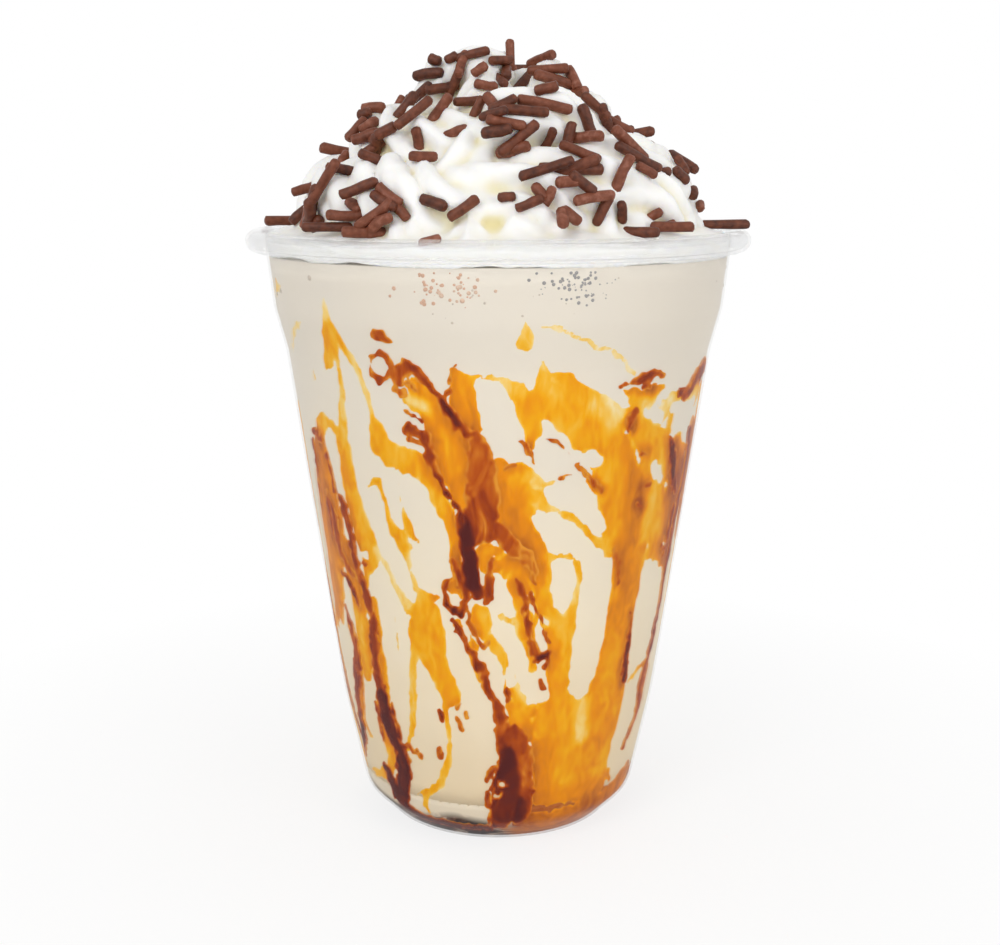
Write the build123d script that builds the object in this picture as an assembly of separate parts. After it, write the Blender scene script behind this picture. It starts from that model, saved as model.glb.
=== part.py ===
"""Milkshake in a clear 16 oz plastic cup, topped with piped whipped cream.

Units are millimetres. +Z is up, and the origin is the centre of the cup's foot, on the surface that it
stands on. The front is towards -Y. Each piece is one solid in a node of its own: the thin thermoformed
cup with its rolled lip, the sauce that has settled in its foot, the drink, and the cream piped on top.
"""

import math
import os

from build123d import *

# Cup: overall sizes
rim_diameter = 98.0
cup_height = 118.0
wall = 0.6

# Rolled lip: a curl of the wall that turns outwards and under
lip_radius = 2.1  # outside radius of the curl's section
lip_sweep = 295.0  # degrees that the curl turns through, from its inner side

# Cup: the outer face of the wall, from the foot up
push_up_height = 3.0  # how far the middle of the base is pushed up
push_up_radius = 17.0
foot_ring_inner = 20.0  # the flat ring that the cup stands on
foot_ring_outer = 22.4
heel_radius, heel_height = 27.7, 5.4  # where the foot turns up into the wall
waist_radius, waist_height = 31.9, 25.0
shoulder_low_radius, shoulder_low_height = 41.8, 95.0  # the stacking shoulder
shoulder_high_radius, shoulder_high_height = 43.9, 103.0
small_bend = 1.2  # bend radii of those corners
heel_bend = 5.0
waist_bend = 80.0
shoulder_bend = 9.0

# Levels of what is in the cup
sauce_level = 9.2
drink_level = 113.0

# Whipped cream: one heap of piped tiers, each a ring of pleated dollops
cream_clearance = 0.3  # between the cream and the wall
tiers = [
    # widest radius, rise of the tier's top over the rim, dollops round it, the first one's angle
    dict(radius=42.5, rise=12.0, dollops=9, turn=250.0),
    dict(radius=29.5, rise=23.5, dollops=6, turn=280.0),
    dict(radius=18.0, rise=32.5, dollops=4, turn=245.0),
]
tier_profile = [
    # height within the tier, and radius there, as shares of the tier's own
    (0.20, 1.00),
    (0.42, 0.98),
    (0.64, 0.92),
    (0.83, 0.82),
    (0.97, 0.70),
]
crown_profile = [(1.03, 0.56), (1.06, 0.40), (1.075, 0.22)]  # the same, over the top tier's tip
dollop_depth = 0.13  # how far the crease between two dollops cuts in, as a share of the radius
pleats = 3  # folds across each dollop, pressed by the nozzle's teeth
pleat_depth = 0.014
swirl = 16.0  # degrees that a tier's dollops lean round over its height
outline_points = 108  # points round each outline
outline_step = 1.5  # the most height between two outlines inside the cup, so that the loft stays even


def inset_corner(before, corner, after, inset):
    """The corner of a polyline in (radius, height), moved to the line's left by inset."""
    incoming = (corner - before).normalized()
    outgoing = (after - corner).normalized()
    left = Vector(-incoming.Y, incoming.X)
    turn = incoming.cross(outgoing).Z
    along = (1 - incoming.dot(outgoing)) / turn  # how far the crossing shifts along the incoming line
    return corner + left * inset - incoming * (inset * along)


def wall_corners(inset):
    """The wall's corners (radius, height) from the axis to the lip, inset towards the inside of the cup,
    and the bend radii between them."""
    neck_radius = rim_diameter / 2 - 2 * lip_radius + wall
    corners = [
        Vector(0, push_up_height),
        Vector(push_up_radius, push_up_height),
        Vector(foot_ring_inner, 0),
        Vector(foot_ring_outer, 0),
        Vector(heel_radius, heel_height),
        Vector(waist_radius, waist_height),
        Vector(shoulder_low_radius, shoulder_low_height),
        Vector(shoulder_high_radius, shoulder_high_height),
        Vector(neck_radius, cup_height - lip_radius),
    ]
    bends = [small_bend, small_bend, small_bend, heel_bend, waist_bend, shoulder_bend, shoulder_bend]
    inner_corners = [corners[0] + Vector(0, inset)]
    inner_bends = []
    for before, corner, after, bend in zip(corners, corners[1:], corners[2:], bends):
        turns_left = (corner - before).cross(after - corner).Z > 0
        inner_corners.append(inset_corner(before, corner, after, inset))
        inner_bends.append(bend - inset if turns_left else bend + inset)
    inner_corners.append(corners[-1] - Vector(inset, 0))
    return inner_corners, inner_bends


def wall_line(inset):
    """The wall's line from the axis to the lip, inset from the outer face towards the inside of the cup."""
    corners, bends = wall_corners(inset)
    return FilletPolyline([(p.X, 0, p.Y) for p in corners], radius=bends)


def inside_radius(corners, height):
    """The radius of the cup's inside at one height; over the last corner it stays as it is there."""
    for low, high in zip(corners[-2::-1], corners[::-1]):
        if low.Y <= height:
            return low.X + (high.X - low.X) * (min(height, high.Y) - low.Y) / (high.Y - low.Y)


def lip_arc(radius):
    """The curl's arc at this section radius, from the wall's side over the top and under."""
    centre = Vector(rim_diameter / 2 - lip_radius, 0, cup_height - lip_radius)
    points = []
    for share in (0, 0.5, 1):
        angle = math.radians(180 - share * lip_sweep)
        points.append(centre + Vector(radius * math.cos(angle), 0, radius * math.sin(angle)))
    return ThreePointArc(*points)


def revolved(*edges):
    """The solid made by turning a closed line in the XZ plane about the axis."""
    return revolve(make_face(Wire([e for edge in edges for e in edge.edges()])), Axis.Z)


def make_cup():
    """The cup: one thin wall from the base to the curl's edge."""
    outer, inner = wall_line(0), wall_line(wall)
    curl_outside, curl_inside = lip_arc(lip_radius), lip_arc(lip_radius - wall)
    return revolved(
        outer,
        curl_inside,
        Line(curl_inside @ 1, curl_outside @ 1),
        curl_outside,
        inner,
        Line(inner @ 0, outer @ 0),
    )


def make_room(top):
    """The room that the contents fill: the inside of the cup, carried straight up past the lip."""
    inner = wall_line(wall)
    corner = Vector((inner @ 1).X, 0, top)
    axis_top = Vector(0, 0, top)
    return revolved(inner, Line(inner @ 1, corner), Line(corner, axis_top), Line(axis_top, inner @ 0))


def between(room, low, high):
    """The part of the room between two heights."""
    slab = Cylinder(rim_diameter, high - low, align=(Align.CENTER, Align.CENTER, Align.MIN))
    return room & Pos(0, 0, low) * slab


def cream_outline(height, radius, tier, share):
    """The cream's outline at one height: dollops with creases between them and pleats across them."""
    points = []
    for i in range(outline_points):
        angle = 2 * math.pi * i / outline_points
        around = tier["dollops"] / 2 * (angle - math.radians(tier["turn"] + swirl * share))
        crease = 1 - math.sqrt(math.cos(around) ** 2 + 0.03)
        pleat = math.cos(2 * pleats * around)
        reach = radius * (1 - dollop_depth * crease + pleat_depth * pleat) if share else radius
        points.append((reach * math.cos(angle), reach * math.sin(angle), height))
    return Wire(Spline(*points, periodic=True).edges())


def make_cream():
    """The cream: one smooth loft from the drink's level, past the lip and up through the tiers."""
    corners = wall_corners(wall)[0]
    neck_height = corners[-1].Y
    steps = math.ceil((neck_height - drink_level) / outline_step)
    heights = [drink_level + (neck_height - drink_level) * i / steps for i in range(steps + 1)]
    outlines = []
    for height in heights + [cup_height]:
        radius = inside_radius(corners, height) - cream_clearance
        outlines.append(cream_outline(height, radius, tiers[0], 0))
    foot = cup_height
    for tier in tiers:
        top = cup_height + tier["rise"]
        profile = tier_profile + (crown_profile if tier is tiers[-1] else [])
        for share, width in profile:
            height = foot + (top - foot) * share
            outlines.append(cream_outline(height, tier["radius"] * width, tier, share))
        foot = top
    return Solid.make_loft(outlines)


room = make_room(cup_height)

nodes = {
    "cup": make_cup(),
    "sauce_pool": between(room, -push_up_height, sauce_level),
    "milkshake": between(room, sauce_level, drink_level),
    "whipped_cream": make_cream(),
}

os.makedirs("parts", exist_ok=True)
for name, shape in nodes.items():
    export_step(shape, f"parts/{name}.step")
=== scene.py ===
import math

import bmesh
import bpy
import numpy as np
from mathutils import Matrix, Vector
from mathutils.bvhtree import BVHTree


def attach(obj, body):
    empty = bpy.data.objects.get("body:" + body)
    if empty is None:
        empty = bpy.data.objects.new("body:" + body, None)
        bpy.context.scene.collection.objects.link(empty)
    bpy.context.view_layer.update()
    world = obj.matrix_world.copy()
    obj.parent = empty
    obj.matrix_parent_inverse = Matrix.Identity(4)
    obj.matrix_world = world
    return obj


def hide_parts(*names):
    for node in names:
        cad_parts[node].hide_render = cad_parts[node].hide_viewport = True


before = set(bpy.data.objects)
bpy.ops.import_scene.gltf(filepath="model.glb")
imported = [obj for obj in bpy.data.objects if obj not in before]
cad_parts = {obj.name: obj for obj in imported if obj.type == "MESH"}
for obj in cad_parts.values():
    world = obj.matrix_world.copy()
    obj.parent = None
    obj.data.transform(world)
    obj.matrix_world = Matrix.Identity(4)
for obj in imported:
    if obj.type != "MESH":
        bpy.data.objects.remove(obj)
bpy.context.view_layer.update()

mm = 0.001
scene = bpy.context.scene
print("frame loaded:", sorted(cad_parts))


# small helpers
def srgb(code):
    parts = [int(code[i:i + 2], 16) / 255 for i in (1, 3, 5)]
    return [p / 12.92 if p <= 0.04045 else ((p + 0.055) / 1.055) ** 2.4 for p in parts] + [1.0]


def addNode(tree, kind, settings={}, links={}):
    item = tree.nodes.new("ShaderNode" + kind)
    for name, value in settings.items():
        if name == "stops":  # the places and colours of a colour ramp
            ramp = item.color_ramp
            for i in range(len(value) - 2):
                ramp.elements.new((i + 1) / len(value))
            for element, (place, colour) in zip(ramp.elements, value):
                element.position = place
                element.color = srgb(colour)
        elif isinstance(name, str) and hasattr(item, name):
            setattr(item, name, value)
        else:
            item.inputs[name].default_value = value
    for name, source in links.items():
        tree.links.new(source, item.inputs[name])
    return item


# 1 for the rays that should meet plain white: the camera's, and those seen in gloss or through the cup
def seenRays(tree):
    path = addNode(tree, "LightPath")
    seen = addNode(tree, "Math", {"operation": "MAXIMUM"},
                   {0: path.outputs["Is Camera Ray"], 1: path.outputs["Is Glossy Ray"]})
    return addNode(tree, "Math", {"operation": "MAXIMUM"},
                   {0: seen.outputs["Value"], 1: path.outputs["Is Transmission Ray"]})


def newMaterial(name):
    material = bpy.data.materials.new(name)
    material.use_nodes = True
    material.node_tree.nodes.clear()
    return material, material.node_tree


def setMaterial(piece, material):
    piece.data.materials.clear()
    piece.data.materials.append(material)


def pickOnly(piece):
    bpy.ops.object.select_all(action="DESELECT")
    piece.select_set(True)
    bpy.context.view_layer.objects.active = piece


# adds a modifier to the picked piece, sets it and applies it
def applyModifier(kind, **settings):
    piece = bpy.context.view_layer.objects.active
    bpy.ops.object.modifier_add(type=kind)
    for name, value in settings.items():
        setattr(piece.modifiers[-1], name, value)
    bpy.ops.object.modifier_apply(modifier=piece.modifiers[-1].name)


def turnFacesOut(piece, mergeWithin=None):
    pickOnly(piece)
    bpy.ops.object.mode_set(mode="EDIT")
    bpy.ops.mesh.select_all(action="SELECT")
    if mergeWithin:
        bpy.ops.mesh.remove_doubles(threshold=mergeWithin)
        bpy.ops.mesh.select_all(action="SELECT")
    bpy.ops.mesh.normals_make_consistent(inside=False)
    bpy.ops.object.mode_set(mode="OBJECT")


def meshPiece(name, points, faces):
    data = bpy.data.meshes.new(name)
    data.from_pydata([tuple(p) for p in points], [], [tuple(f) for f in faces])
    data.update()
    piece = bpy.data.objects.new(name, data)
    scene.collection.objects.link(piece)
    return piece


def giveAttribute(piece, name, values):
    layer = piece.data.attributes.new(name, "FLOAT", "POINT")
    layer.data.foreach_set("value", np.asarray(values, np.float32))


def pointsOf(piece):
    co = np.zeros(len(piece.data.vertices) * 3, np.float64)
    piece.data.vertices.foreach_get("co", co)
    return co.reshape(-1, 3)


# the inside of the cup's wall, read from the frame's drink and settled sauce
def wallProfile():
    levels = {}
    for node in ("sauce_pool", "milkshake"):
        for x, y, z in pointsOf(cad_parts[node]):
            key = round(z / mm, 2)
            levels[key] = max(levels.get(key, 0), math.hypot(x, y) / mm)
    heights = sorted(h for h in levels if h > 1.2 and levels[h] > 22)
    return np.array(heights), np.array([levels[h] for h in heights])


wallHeights, wallRadii = wallProfile()
neckSlope = (wallRadii[-1] - np.interp(wallHeights[-1] - 6, wallHeights, wallRadii)) / 6


def wallRadius(height):
    above = np.maximum(np.asarray(height, float) - wallHeights[-1], 0)
    return np.interp(height, wallHeights, wallRadii) + above * neckSlope


# the drink and what has settled in the foot: they reach a little way into the wall
contents = {"intoWall": 0.12}


def fillPiece(node, name):
    pickOnly(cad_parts[node])
    bpy.ops.object.duplicate()
    piece = bpy.context.view_layer.objects.active
    piece.name = name
    piece.parent = None
    for key in list(piece.keys()):
        del piece[key]
    bpy.ops.object.mode_set(mode="EDIT")
    bpy.ops.mesh.select_all(action="SELECT")
    bpy.ops.mesh.remove_doubles(threshold=0.000002)
    bpy.ops.transform.shrink_fatten(value=contents["intoWall"] * mm, use_even_offset=True)
    bpy.ops.object.mode_set(mode="OBJECT")
    pickOnly(piece)
    bpy.ops.object.shade_smooth_by_angle(angle=math.radians(35))
    return piece


drink = fillPiece("milkshake", "drink")
settled = fillPiece("sauce_pool", "settledSauce")
print("drink and settled sauce made")


# sauce on the inside of the wall
# Each stroke is a run of (angle round from the front, height mm, half width mm).
# The gaps let the drink show between the strokes; two small ones, one in each sauce, are painted highlights.
# Each tone is (how deep the colour is, how softly it starts, where).
caramel = {
    "columns": 468, "rows": 180, "stands": 0.04, "thickness": 0.18, "rounding": 0.8, "soften": 0.5,
    "wander": (0.35, 0.5), "ragged": 0.16, "baseTone": 0.45,
    "strokes": [
        [(74, 88, 1.6), (78, 70, 2.4), (80, 48, 2.0), (82, 30, 1.2)],
        [(84, 60, 1.2), (86, 40, 2.2), (88, 22, 1.4), (89, 12, 0.8)],
        [(-76, 84, 1.6), (-80, 64, 2.4), (-84, 40, 1.8), (-86, 22, 1.0)],
        [(-21, 93.5, 1.0), (-17, 92, 1.4), (-15, 89.5, 1.4)],
        [(-11.5, 87, 1.8), (-9, 84, 1.8), (-7.5, 80, 1.6)],
        [(-1, 76, 1.2), (0.3, 72, 1.6), (1, 68, 1.6), (2, 64, 1.2)], [(-3, 63, 1.6), (0, 62, 1.4)],
        [(3.5, 57, 1.0), (5, 53.5, 1.0), (6.5, 50, 0.9)], [(4, 31, 1.6), (7, 28, 2.4), (9, 24.5, 2.2)],
        [(12, 92, 1.5), (16, 90.5, 2.0), (19, 88, 2.0)], [(36, 89, 2.0), (42, 88.5, 1.8)],
        [(-40.5, 50, 1.2), (-41, 27, 1.2)],
        [(-25, 12, 1.2), (-29, 10, 1.3), (-30, 7.5, 1.0), (-27, 5, 0.9)], [(12.5, 24, 1.0), (13, 20, 1.0)],
        [(12, 11.5, 1.2), (15.5, 9.8, 1.6), (22, 9.4, 1.6)],
        [(-12, 47.5, 1.0), (-9, 44.5, 1.2), (-7, 43.3, 1.0), (-3, 43, 0.8)], [(4, 60, 1.4), (1, 57.5, 0.7)],
        [(-13, 55, 1.8), (-11, 53.2, 1.3)], [(-22, 89.5, 1.5), (-18, 88.5, 1.8)],
        [(3, 78, 1.0), (7, 76, 1.2)], [(-2.5, 44.5, 1.3), (0.5, 41, 1.5), (3, 37.5, 1.6), (4, 34, 1.8)],
        [(1, 47, 0.8), (4, 48.5, 0.8)],
        [(3.5, 56, 1.2), (6, 51, 1.6), (8.5, 46, 1.7), (10, 41, 1.5), (9, 37.5, 1.2)],
        [(40, 87, 2.4), (46, 85, 2.0), (51, 88, 1.8)], [(53, 86.5, 1.8), (60, 86.5, 2.4), (68, 87.5, 3.0)],
        [(9, 5, 2.6), (20, 4.5, 3.0), (35, 5, 3.2), (50, 6, 3.4), (64, 9, 3.0)],
        [(-72, 106, 0.5), (-68.5, 107.8, 1.3), (-65, 108, 0.6)],
        [(-55, 102.5, 0.7), (-57.5, 101.6, 1.1), (-61, 99.8, 0.9), (-66, 96.5, 0.8), (-69, 95, 0.4)],
        [(-55, 96, 0.3), (-54, 92, 0.7), (-53.5, 88, 0.4)],
        [(-43.5, 107.5, 0.5), (-43.3, 104, 1.3), (-43, 100.8, 2.5), (-44.3, 98, 2.4), (-46.3, 95.5, 1.7),
         (-48, 94, 0.6)],
        [(-40.8, 100, 1.3), (-38, 97, 1.2), (-36, 93.8, 1.2), (-34, 90.5, 1.0), (-33.2, 87.5, 0.7),
         (-33, 86, 0.9)],
        [(-42.5, 98, 0.9), (-42.6, 94, 0.9), (-42.7, 90, 1.1), (-43.6, 86, 1.3), (-44.5, 82.5, 1.6),
         (-45, 79, 2.4), (-44.8, 74, 2.5), (-43.8, 69.5, 2.6), (-42.5, 65, 3.1), (-40.8, 62, 3.3),
         (-40, 59.5, 3.0), (-41.6, 56.5, 1.6), (-43, 52, 0.8)],
        [(-46, 81.5, 1.2), (-49, 83, 1.4), (-52, 83.8, 1.9), (-55.5, 81.5, 2.4)],
        [(-57, 79, 2.8), (-57.5, 75, 3.9), (-58.3, 70, 4.8), (-58.5, 65, 5.2), (-59, 60, 5.3),
         (-61.5, 54, 4.2), (-63, 49, 4.0), (-65, 44.5, 3.2), (-71, 41, 1.6), (-78, 38.5, 0.8)],
        [(-54, 60, 3.0), (-50, 57, 3.2), (-48.5, 52, 2.6), (-48.3, 47, 2.5), (-48.5, 42, 2.7),
         (-48.5, 37, 2.6), (-49.5, 33.6, 1.9)],
        [(-54, 36, 1.4), (-55.5, 31, 1.8), (-57, 26, 1.6), (-58, 22, 1.2), (-55, 19, 1.0), (-52, 18, 0.5)],
        [(-62, 9.9, 0.7), (-57, 10.4, 1.2), (-52, 11, 1.5), (-47, 12.8, 1.9), (-44.5, 16, 2.2),
         (-44.5, 20, 1.9), (-45.5, 24, 1.3), (-46, 29, 0.7)],
        [(-41.5, 50, 0.5), (-40.3, 44, 0.8), (-40, 38, 0.9), (-39.3, 32, 0.8), (-38.8, 27, 0.5)],
        [(-36.5, 17.8, 0.5), (-34, 20, 0.8), (-31.8, 23, 1.0), (-30, 27, 1.2), (-28.7, 32, 1.25),
         (-27.8, 37.5, 1.1), (-26.8, 42, 1.2), (-25.5, 46, 2.0)],
        [(-33, 49, 0.3), (-32.3, 44, 0.6), (-33.5, 38, 0.3)],
        [(-36.5, 60.5, 0.7), (-34, 57.5, 1.0), (-31, 54, 1.1), (-28.5, 50.5, 1.2), (-26.5, 48.5, 1.4)],
        [(-33, 86.3, 0.7), (-32.6, 84, 1.8), (-31.5, 81.5, 2.6), (-29, 79.6, 2.7), (-25, 78.6, 2.5),
         (-21.5, 78, 2.3), (-18.5, 76.2, 2.2), (-16, 72.5, 1.9), (-13.7, 69, 1.8), (-12.3, 66, 1.5),
         (-11.7, 63, 1.4), (-12, 60, 1.6)],
        [(-37, 72.3, 0.6), (-34.8, 73.4, 1.1), (-32.3, 73.6, 1.1), (-31.7, 70.5, 0.9), (-31, 67, 1.0),
         (-29.5, 64.3, 1.5), (-27.5, 62.5, 1.6), (-25.5, 62, 1.0)],
        [(-27.3, 76.5, 0.5), (-26.8, 71.5, 0.5), (-26, 67.5, 1.0), (-24.5, 65.5, 1.6), (-23, 63.7, 1.0),
         (-22, 62.7, 0.5)],
        [(-28, 64, 1.6), (-26.7, 61, 1.2), (-25.7, 58, 0.8), (-24.3, 54.5, 1.0), (-22, 52.5, 1.3),
         (-18, 52.3, 1.0)],
        [(-22, 52.5, 1.6), (-21.5, 49, 3.2), (-21.5, 45, 3.6), (-21, 41.5, 3.2), (-19, 38, 2.6),
         (-17, 35.5, 2.6), (-15.5, 33, 2.4), (-15.8, 31.3, 1.6)],
        [(-17.3, 31, 1.0), (-17, 27, 0.9), (-16.8, 22, 0.9), (-18.5, 17.5, 1.1), (-21.5, 14, 1.2),
         (-25, 12, 1.0), (-29, 10.6, 0.9), (-33.5, 9.6, 0.6)],
        [(-22.5, 92.5, 0.9), (-19.5, 91, 1.8), (-17, 88.5, 2.6), (-14.5, 85.5, 3.2), (-12.5, 81.5, 3.4),
         (-11.5, 77.5, 3.0), (-10, 73.5, 2.2), (-8, 69.5, 1.6)],
        [(-11.5, 96, 0.4), (-10, 95.3, 1.3), (-8.3, 93, 2.3), (-8, 90, 2.8), (-6.8, 87.5, 2.4),
         (-5, 85, 1.2)],
        [(-6, 94, 0.9), (-2, 94.3, 0.7), (2, 93.5, 1.3), (4.5, 91.8, 2.2), (7, 89.5, 2.4), (8.3, 86.5, 2.2),
         (8.6, 83.8, 1.5), (7.8, 81, 1.0), (9, 78.8, 0.5)],
        [(8.5, 96.2, 0.5), (10.3, 96.5, 0.5), (10.5, 94, 1.6), (11.5, 91, 2.8), (13, 88.5, 3.0)],
        [(13, 94.3, 1.0), (17, 93.3, 1.6), (20, 91, 2.6), (22.5, 88.5, 3.4), (25, 86, 3.8), (27, 83, 4.2),
         (29.5, 80, 4.6), (32, 77, 5.0), (34, 73, 5.2), (36, 69, 5.4), (38, 65, 5.8), (40, 61, 5.8),
         (41.5, 57, 4.9), (41.3, 52, 4.5), (40.8, 47, 4.3), (40.5, 42, 4.4), (40, 37, 4.9), (39.5, 33, 5.0),
         (38.5, 28, 5.4), (37.5, 23, 5.4), (36.5, 18, 5.6), (37, 13.5, 5.6), (37, 11.5, 4.8)],
        [(16.5, 86.5, 2.8), (20.5, 85, 3.4), (24, 82, 2.8), (27.5, 79.5, 2.2), (29.5, 76, 3.2),
         (27, 73.8, 2.0), (24.5, 74.5, 1.2)],
        [(25, 91, 0.8), (28, 88.8, 1.4), (31, 86.2, 1.8), (34, 85.5, 2.0), (37, 84.5, 2.2)],
        [(32, 91, 0.6), (35, 90.5, 1.3), (38, 89.5, 1.5), (42, 90, 1.6), (46, 90.3, 1.3)],
        [(34.5, 88.5, 1.0), (37.5, 86, 1.6), (39.5, 82.5, 2.8), (43.5, 80.5, 3.6), (47.5, 79.5, 3.4),
         (50.5, 77, 3.0), (52, 74, 3.2)],
        [(44, 75.5, 3.0), (47, 70.5, 3.8), (50, 67, 4.6), (53, 63.5, 4.4), (54.5, 60.5, 3.4), (52, 58, 2.0),
         (56, 57.5, 1.8), (60, 55.5, 1.6), (64, 53.5, 1.3)],
        [(47, 88, 0.9), (50, 87.5, 1.0), (51.5, 85, 1.2), (51.5, 82, 1.4)],
        [(53, 89.3, 0.9), (56, 88.5, 1.3), (60, 89, 1.7), (65, 91.2, 2.2), (70, 92.3, 2.4), (76, 92, 1.6)],
        [(57, 79, 2.6), (60.5, 75, 4.4), (62.5, 69.5, 5.2), (63.5, 63.5, 4.6), (64.5, 58, 2.6),
         (65, 52, 1.6), (65.5, 46, 1.4), (65, 40, 1.3), (63, 36, 1.3)],
        [(70, 80, 3.0), (73, 74, 3.2), (74, 66, 2.4), (74, 58, 1.2)],
        [(49, 31.2, 0.6), (52, 32.3, 0.9), (56, 33.6, 1.1), (60, 34.2, 1.2), (62.5, 32.5, 1.8),
         (60.5, 29, 2.0), (61, 25.5, 1.7), (59, 22.5, 1.1)],
        [(6.1, 104.2, 0.5), (6.1, 102.3, 1.3), (6.1, 100.6, 1.7), (6.1, 100.3, 1.7)],
        [(10, 103.2, 0.8), (14, 102.8, 0.9), (18, 101.4, 0.85), (23, 99.7, 0.9), (28, 97.8, 0.8),
         (31.5, 96.2, 0.8), (35, 93.8, 0.9)],
        [(3, 79, 0.9), (6, 77.8, 1.0), (9, 76, 1.5), (12, 74.8, 1.2), (15, 75.2, 0.6)],
        [(0, 78.5, 1.6), (3, 74.5, 2.6), (5, 70.5, 3.2), (6.5, 66, 3.4), (8, 62.5, 3.4), (10.5, 59.5, 2.9),
         (12.5, 56, 2.4), (13.2, 52.5, 2.0), (14.5, 49.5, 2.2), (17, 46.5, 2.8), (18.7, 42.5, 2.8),
         (19, 38, 2.6), (18.8, 34, 2.6)],
        [(6, 73.5, 2.6), (10, 72.5, 1.8), (12.5, 70.7, 1.0)],
        [(10.5, 71, 0.9), (15, 69.7, 0.9), (20, 67.5, 1.0), (25, 64.8, 1.0), (29, 62.5, 1.0),
         (33, 60.5, 1.2)],
        [(12, 60.5, 1.4), (16, 60.6, 0.9), (20, 60.4, 0.9), (23, 58.6, 0.9), (24, 55.5, 0.9),
         (23.5, 52, 1.2), (22, 49.3, 1.4), (21, 46, 1.8), (21, 42, 1.6), (20.8, 38, 1.5), (21, 34.5, 1.8)],
        [(17, 32, 3.2), (22, 30, 3.0), (27, 29, 2.6), (32, 30, 2.6)],
        [(17, 27, 3.6), (23, 25, 5.2), (29, 24, 5.2)], [(18, 20, 4.0), (25, 18, 5.8), (30, 17, 5.4)],
        [(19, 14, 3.4), (26, 13, 4.0), (32, 13, 4.0)],
        [(14.5, 23, 1.6), (14.5, 17, 1.4), (15.5, 12.5, 1.2)],
        [(16, 12, 1.8), (20, 10.3, 2.0), (30, 9.8, 2.0), (44, 10, 1.8)],
        [(46, 31, 1.4), (45.8, 26, 1.4), (44.5, 20, 1.3), (44.5, 15, 1.4), (47, 12, 1.0), (50, 10.5, 0.8)],
        [(-12, 60.5, 1.5), (-11, 57, 1.6), (-9.5, 54.5, 1.4)],
        [(-4, 62, 2.0), (-3.5, 58.5, 1.4), (-1, 59.5, 1.5), (3, 60, 1.8), (6, 58, 1.6), (8, 54, 1.4)],
        [(-5, 50.5, 2.0), (-5, 48, 2.1), (-4.5, 46.2, 1.6)],
        [(-8.5, 42.5, 0.9), (-7, 40, 1.1), (-5.5, 37, 1.0), (-3.5, 34.5, 0.9)],
        [(0.5, 49.5, 0.8), (3, 47.8, 1.0), (5.5, 46.5, 1.0), (7.5, 43.5, 1.0), (9.3, 40.5, 1.2),
         (11, 38.8, 1.0)],
        [(-2.5, 45.5, 1.0), (0, 43.5, 1.0), (2, 41, 1.0), (3, 38.5, 0.8), (2, 36, 0.8)],
        [(5.5, 38.5, 0.6), (5.5, 35.5, 1.0), (6.5, 32.8, 1.6), (8.5, 30.5, 1.8), (12, 29.5, 1.6)],
        [(-12, 47.5, 0.7), (-10, 45.3, 0.6)], [(8, 50, 1.0), (10.3, 47, 0.9), (12, 50, 0.9)],
    ],
    "gaps": [
        [(-3, 92.5, 0.8), (-1.4, 90.3, 2.1), (0, 87.5, 2.5), (1.7, 84.5, 2.7), (2.6, 82, 2.1),
         (3.6, 80, 1.3), (4.3, 79, 0.5)],
        [(11.3, 85.5, 0.3), (13.5, 84.3, 0.5), (16, 82.6, 0.6), (18.5, 81, 0.5), (20.5, 80, 0.3)],
        [(8.7, 80.3, 0.6), (11, 80.8, 1.2), (14, 79.4, 1.5), (17, 77.8, 1.3), (19, 77, 0.8)],
        [(10, 78.8, 0.8), (14, 77.2, 0.9), (17, 75.6, 0.6)],
        [(22.3, 79.4, 0.5), (24.5, 79, 1.0), (26.5, 78.5, 0.7)],
        [(13.5, 73.6, 0.5), (16, 72.9, 1.2), (19.5, 71.4, 1.6), (23, 69.6, 1.8), (26.5, 67.6, 1.4),
         (29.5, 65.4, 0.5)],
        [(10.2, 68.3, 0.4), (12.5, 67.2, 1.2), (15, 65.8, 1.9), (18, 64, 1.9), (21.5, 62.6, 1.2),
         (26, 60.4, 1.3), (28, 59.5, 1.3), (30, 57, 2.6), (30, 54, 3.2), (29.3, 49, 3.0), (29, 44, 2.8),
         (28.3, 39, 2.6), (27.8, 36, 2.4), (27.3, 34, 1.6)],
        [(18, 57.2, 1.4), (18.6, 55, 1.8), (19.2, 53, 1.3)],
        [(-31, 74.8, 0.5), (-29.8, 73, 1.1), (-28.9, 70, 1.0), (-28.5, 67.5, 0.8)],
        [(-25.5, 74.5, 0.8), (-23.5, 73, 1.8), (-21.5, 70, 2.2), (-19.5, 66.5, 2.2), (-18, 63, 2.0),
         (-17.3, 59.5, 2.0), (-18, 56.5, 1.7), (-21, 56, 1.3), (-23.5, 57.5, 0.9)],
        [(-49.8, 80.3, 0.6), (-49.7, 77, 1.0), (-49.6, 73, 0.8), (-49.6, 70.3, 0.3)],
        [(-65, 41, 0.5), (-60, 40.5, 1.6), (-61, 37, 2.6), (-63, 34.5, 1.6), (-67, 33.5, 0.8)],
        [(-49.5, 30, 1.0), (-50, 26, 1.5), (-50.3, 21, 1.4), (-50, 16.5, 1.7), (-50, 14.4, 1.0)],
        [(53.5, 53.5, 1.2), (55.5, 50.5, 3.2), (55.8, 46, 3.8), (55.5, 41, 3.6), (54, 37, 2.4),
         (52, 34.5, 1.0)],
        [(51.5, 29, 1.0), (51.5, 25, 1.8), (51, 20, 2.2), (51, 15, 2.2)],
        [(46.5, 75.7, 0.5), (48.5, 74, 1.0), (50.5, 72.5, 0.5)],
        [(-0.8, 56.8, 0.6), (0, 54.5, 1.0), (1.6, 52, 1.1), (3.2, 50, 0.9)],
        [(0.8, 47.5, 0.6), (2.8, 45.8, 1.1), (4.8, 42.8, 1.1), (6.6, 39.6, 1.1), (7.5, 37.6, 0.8)],
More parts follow.
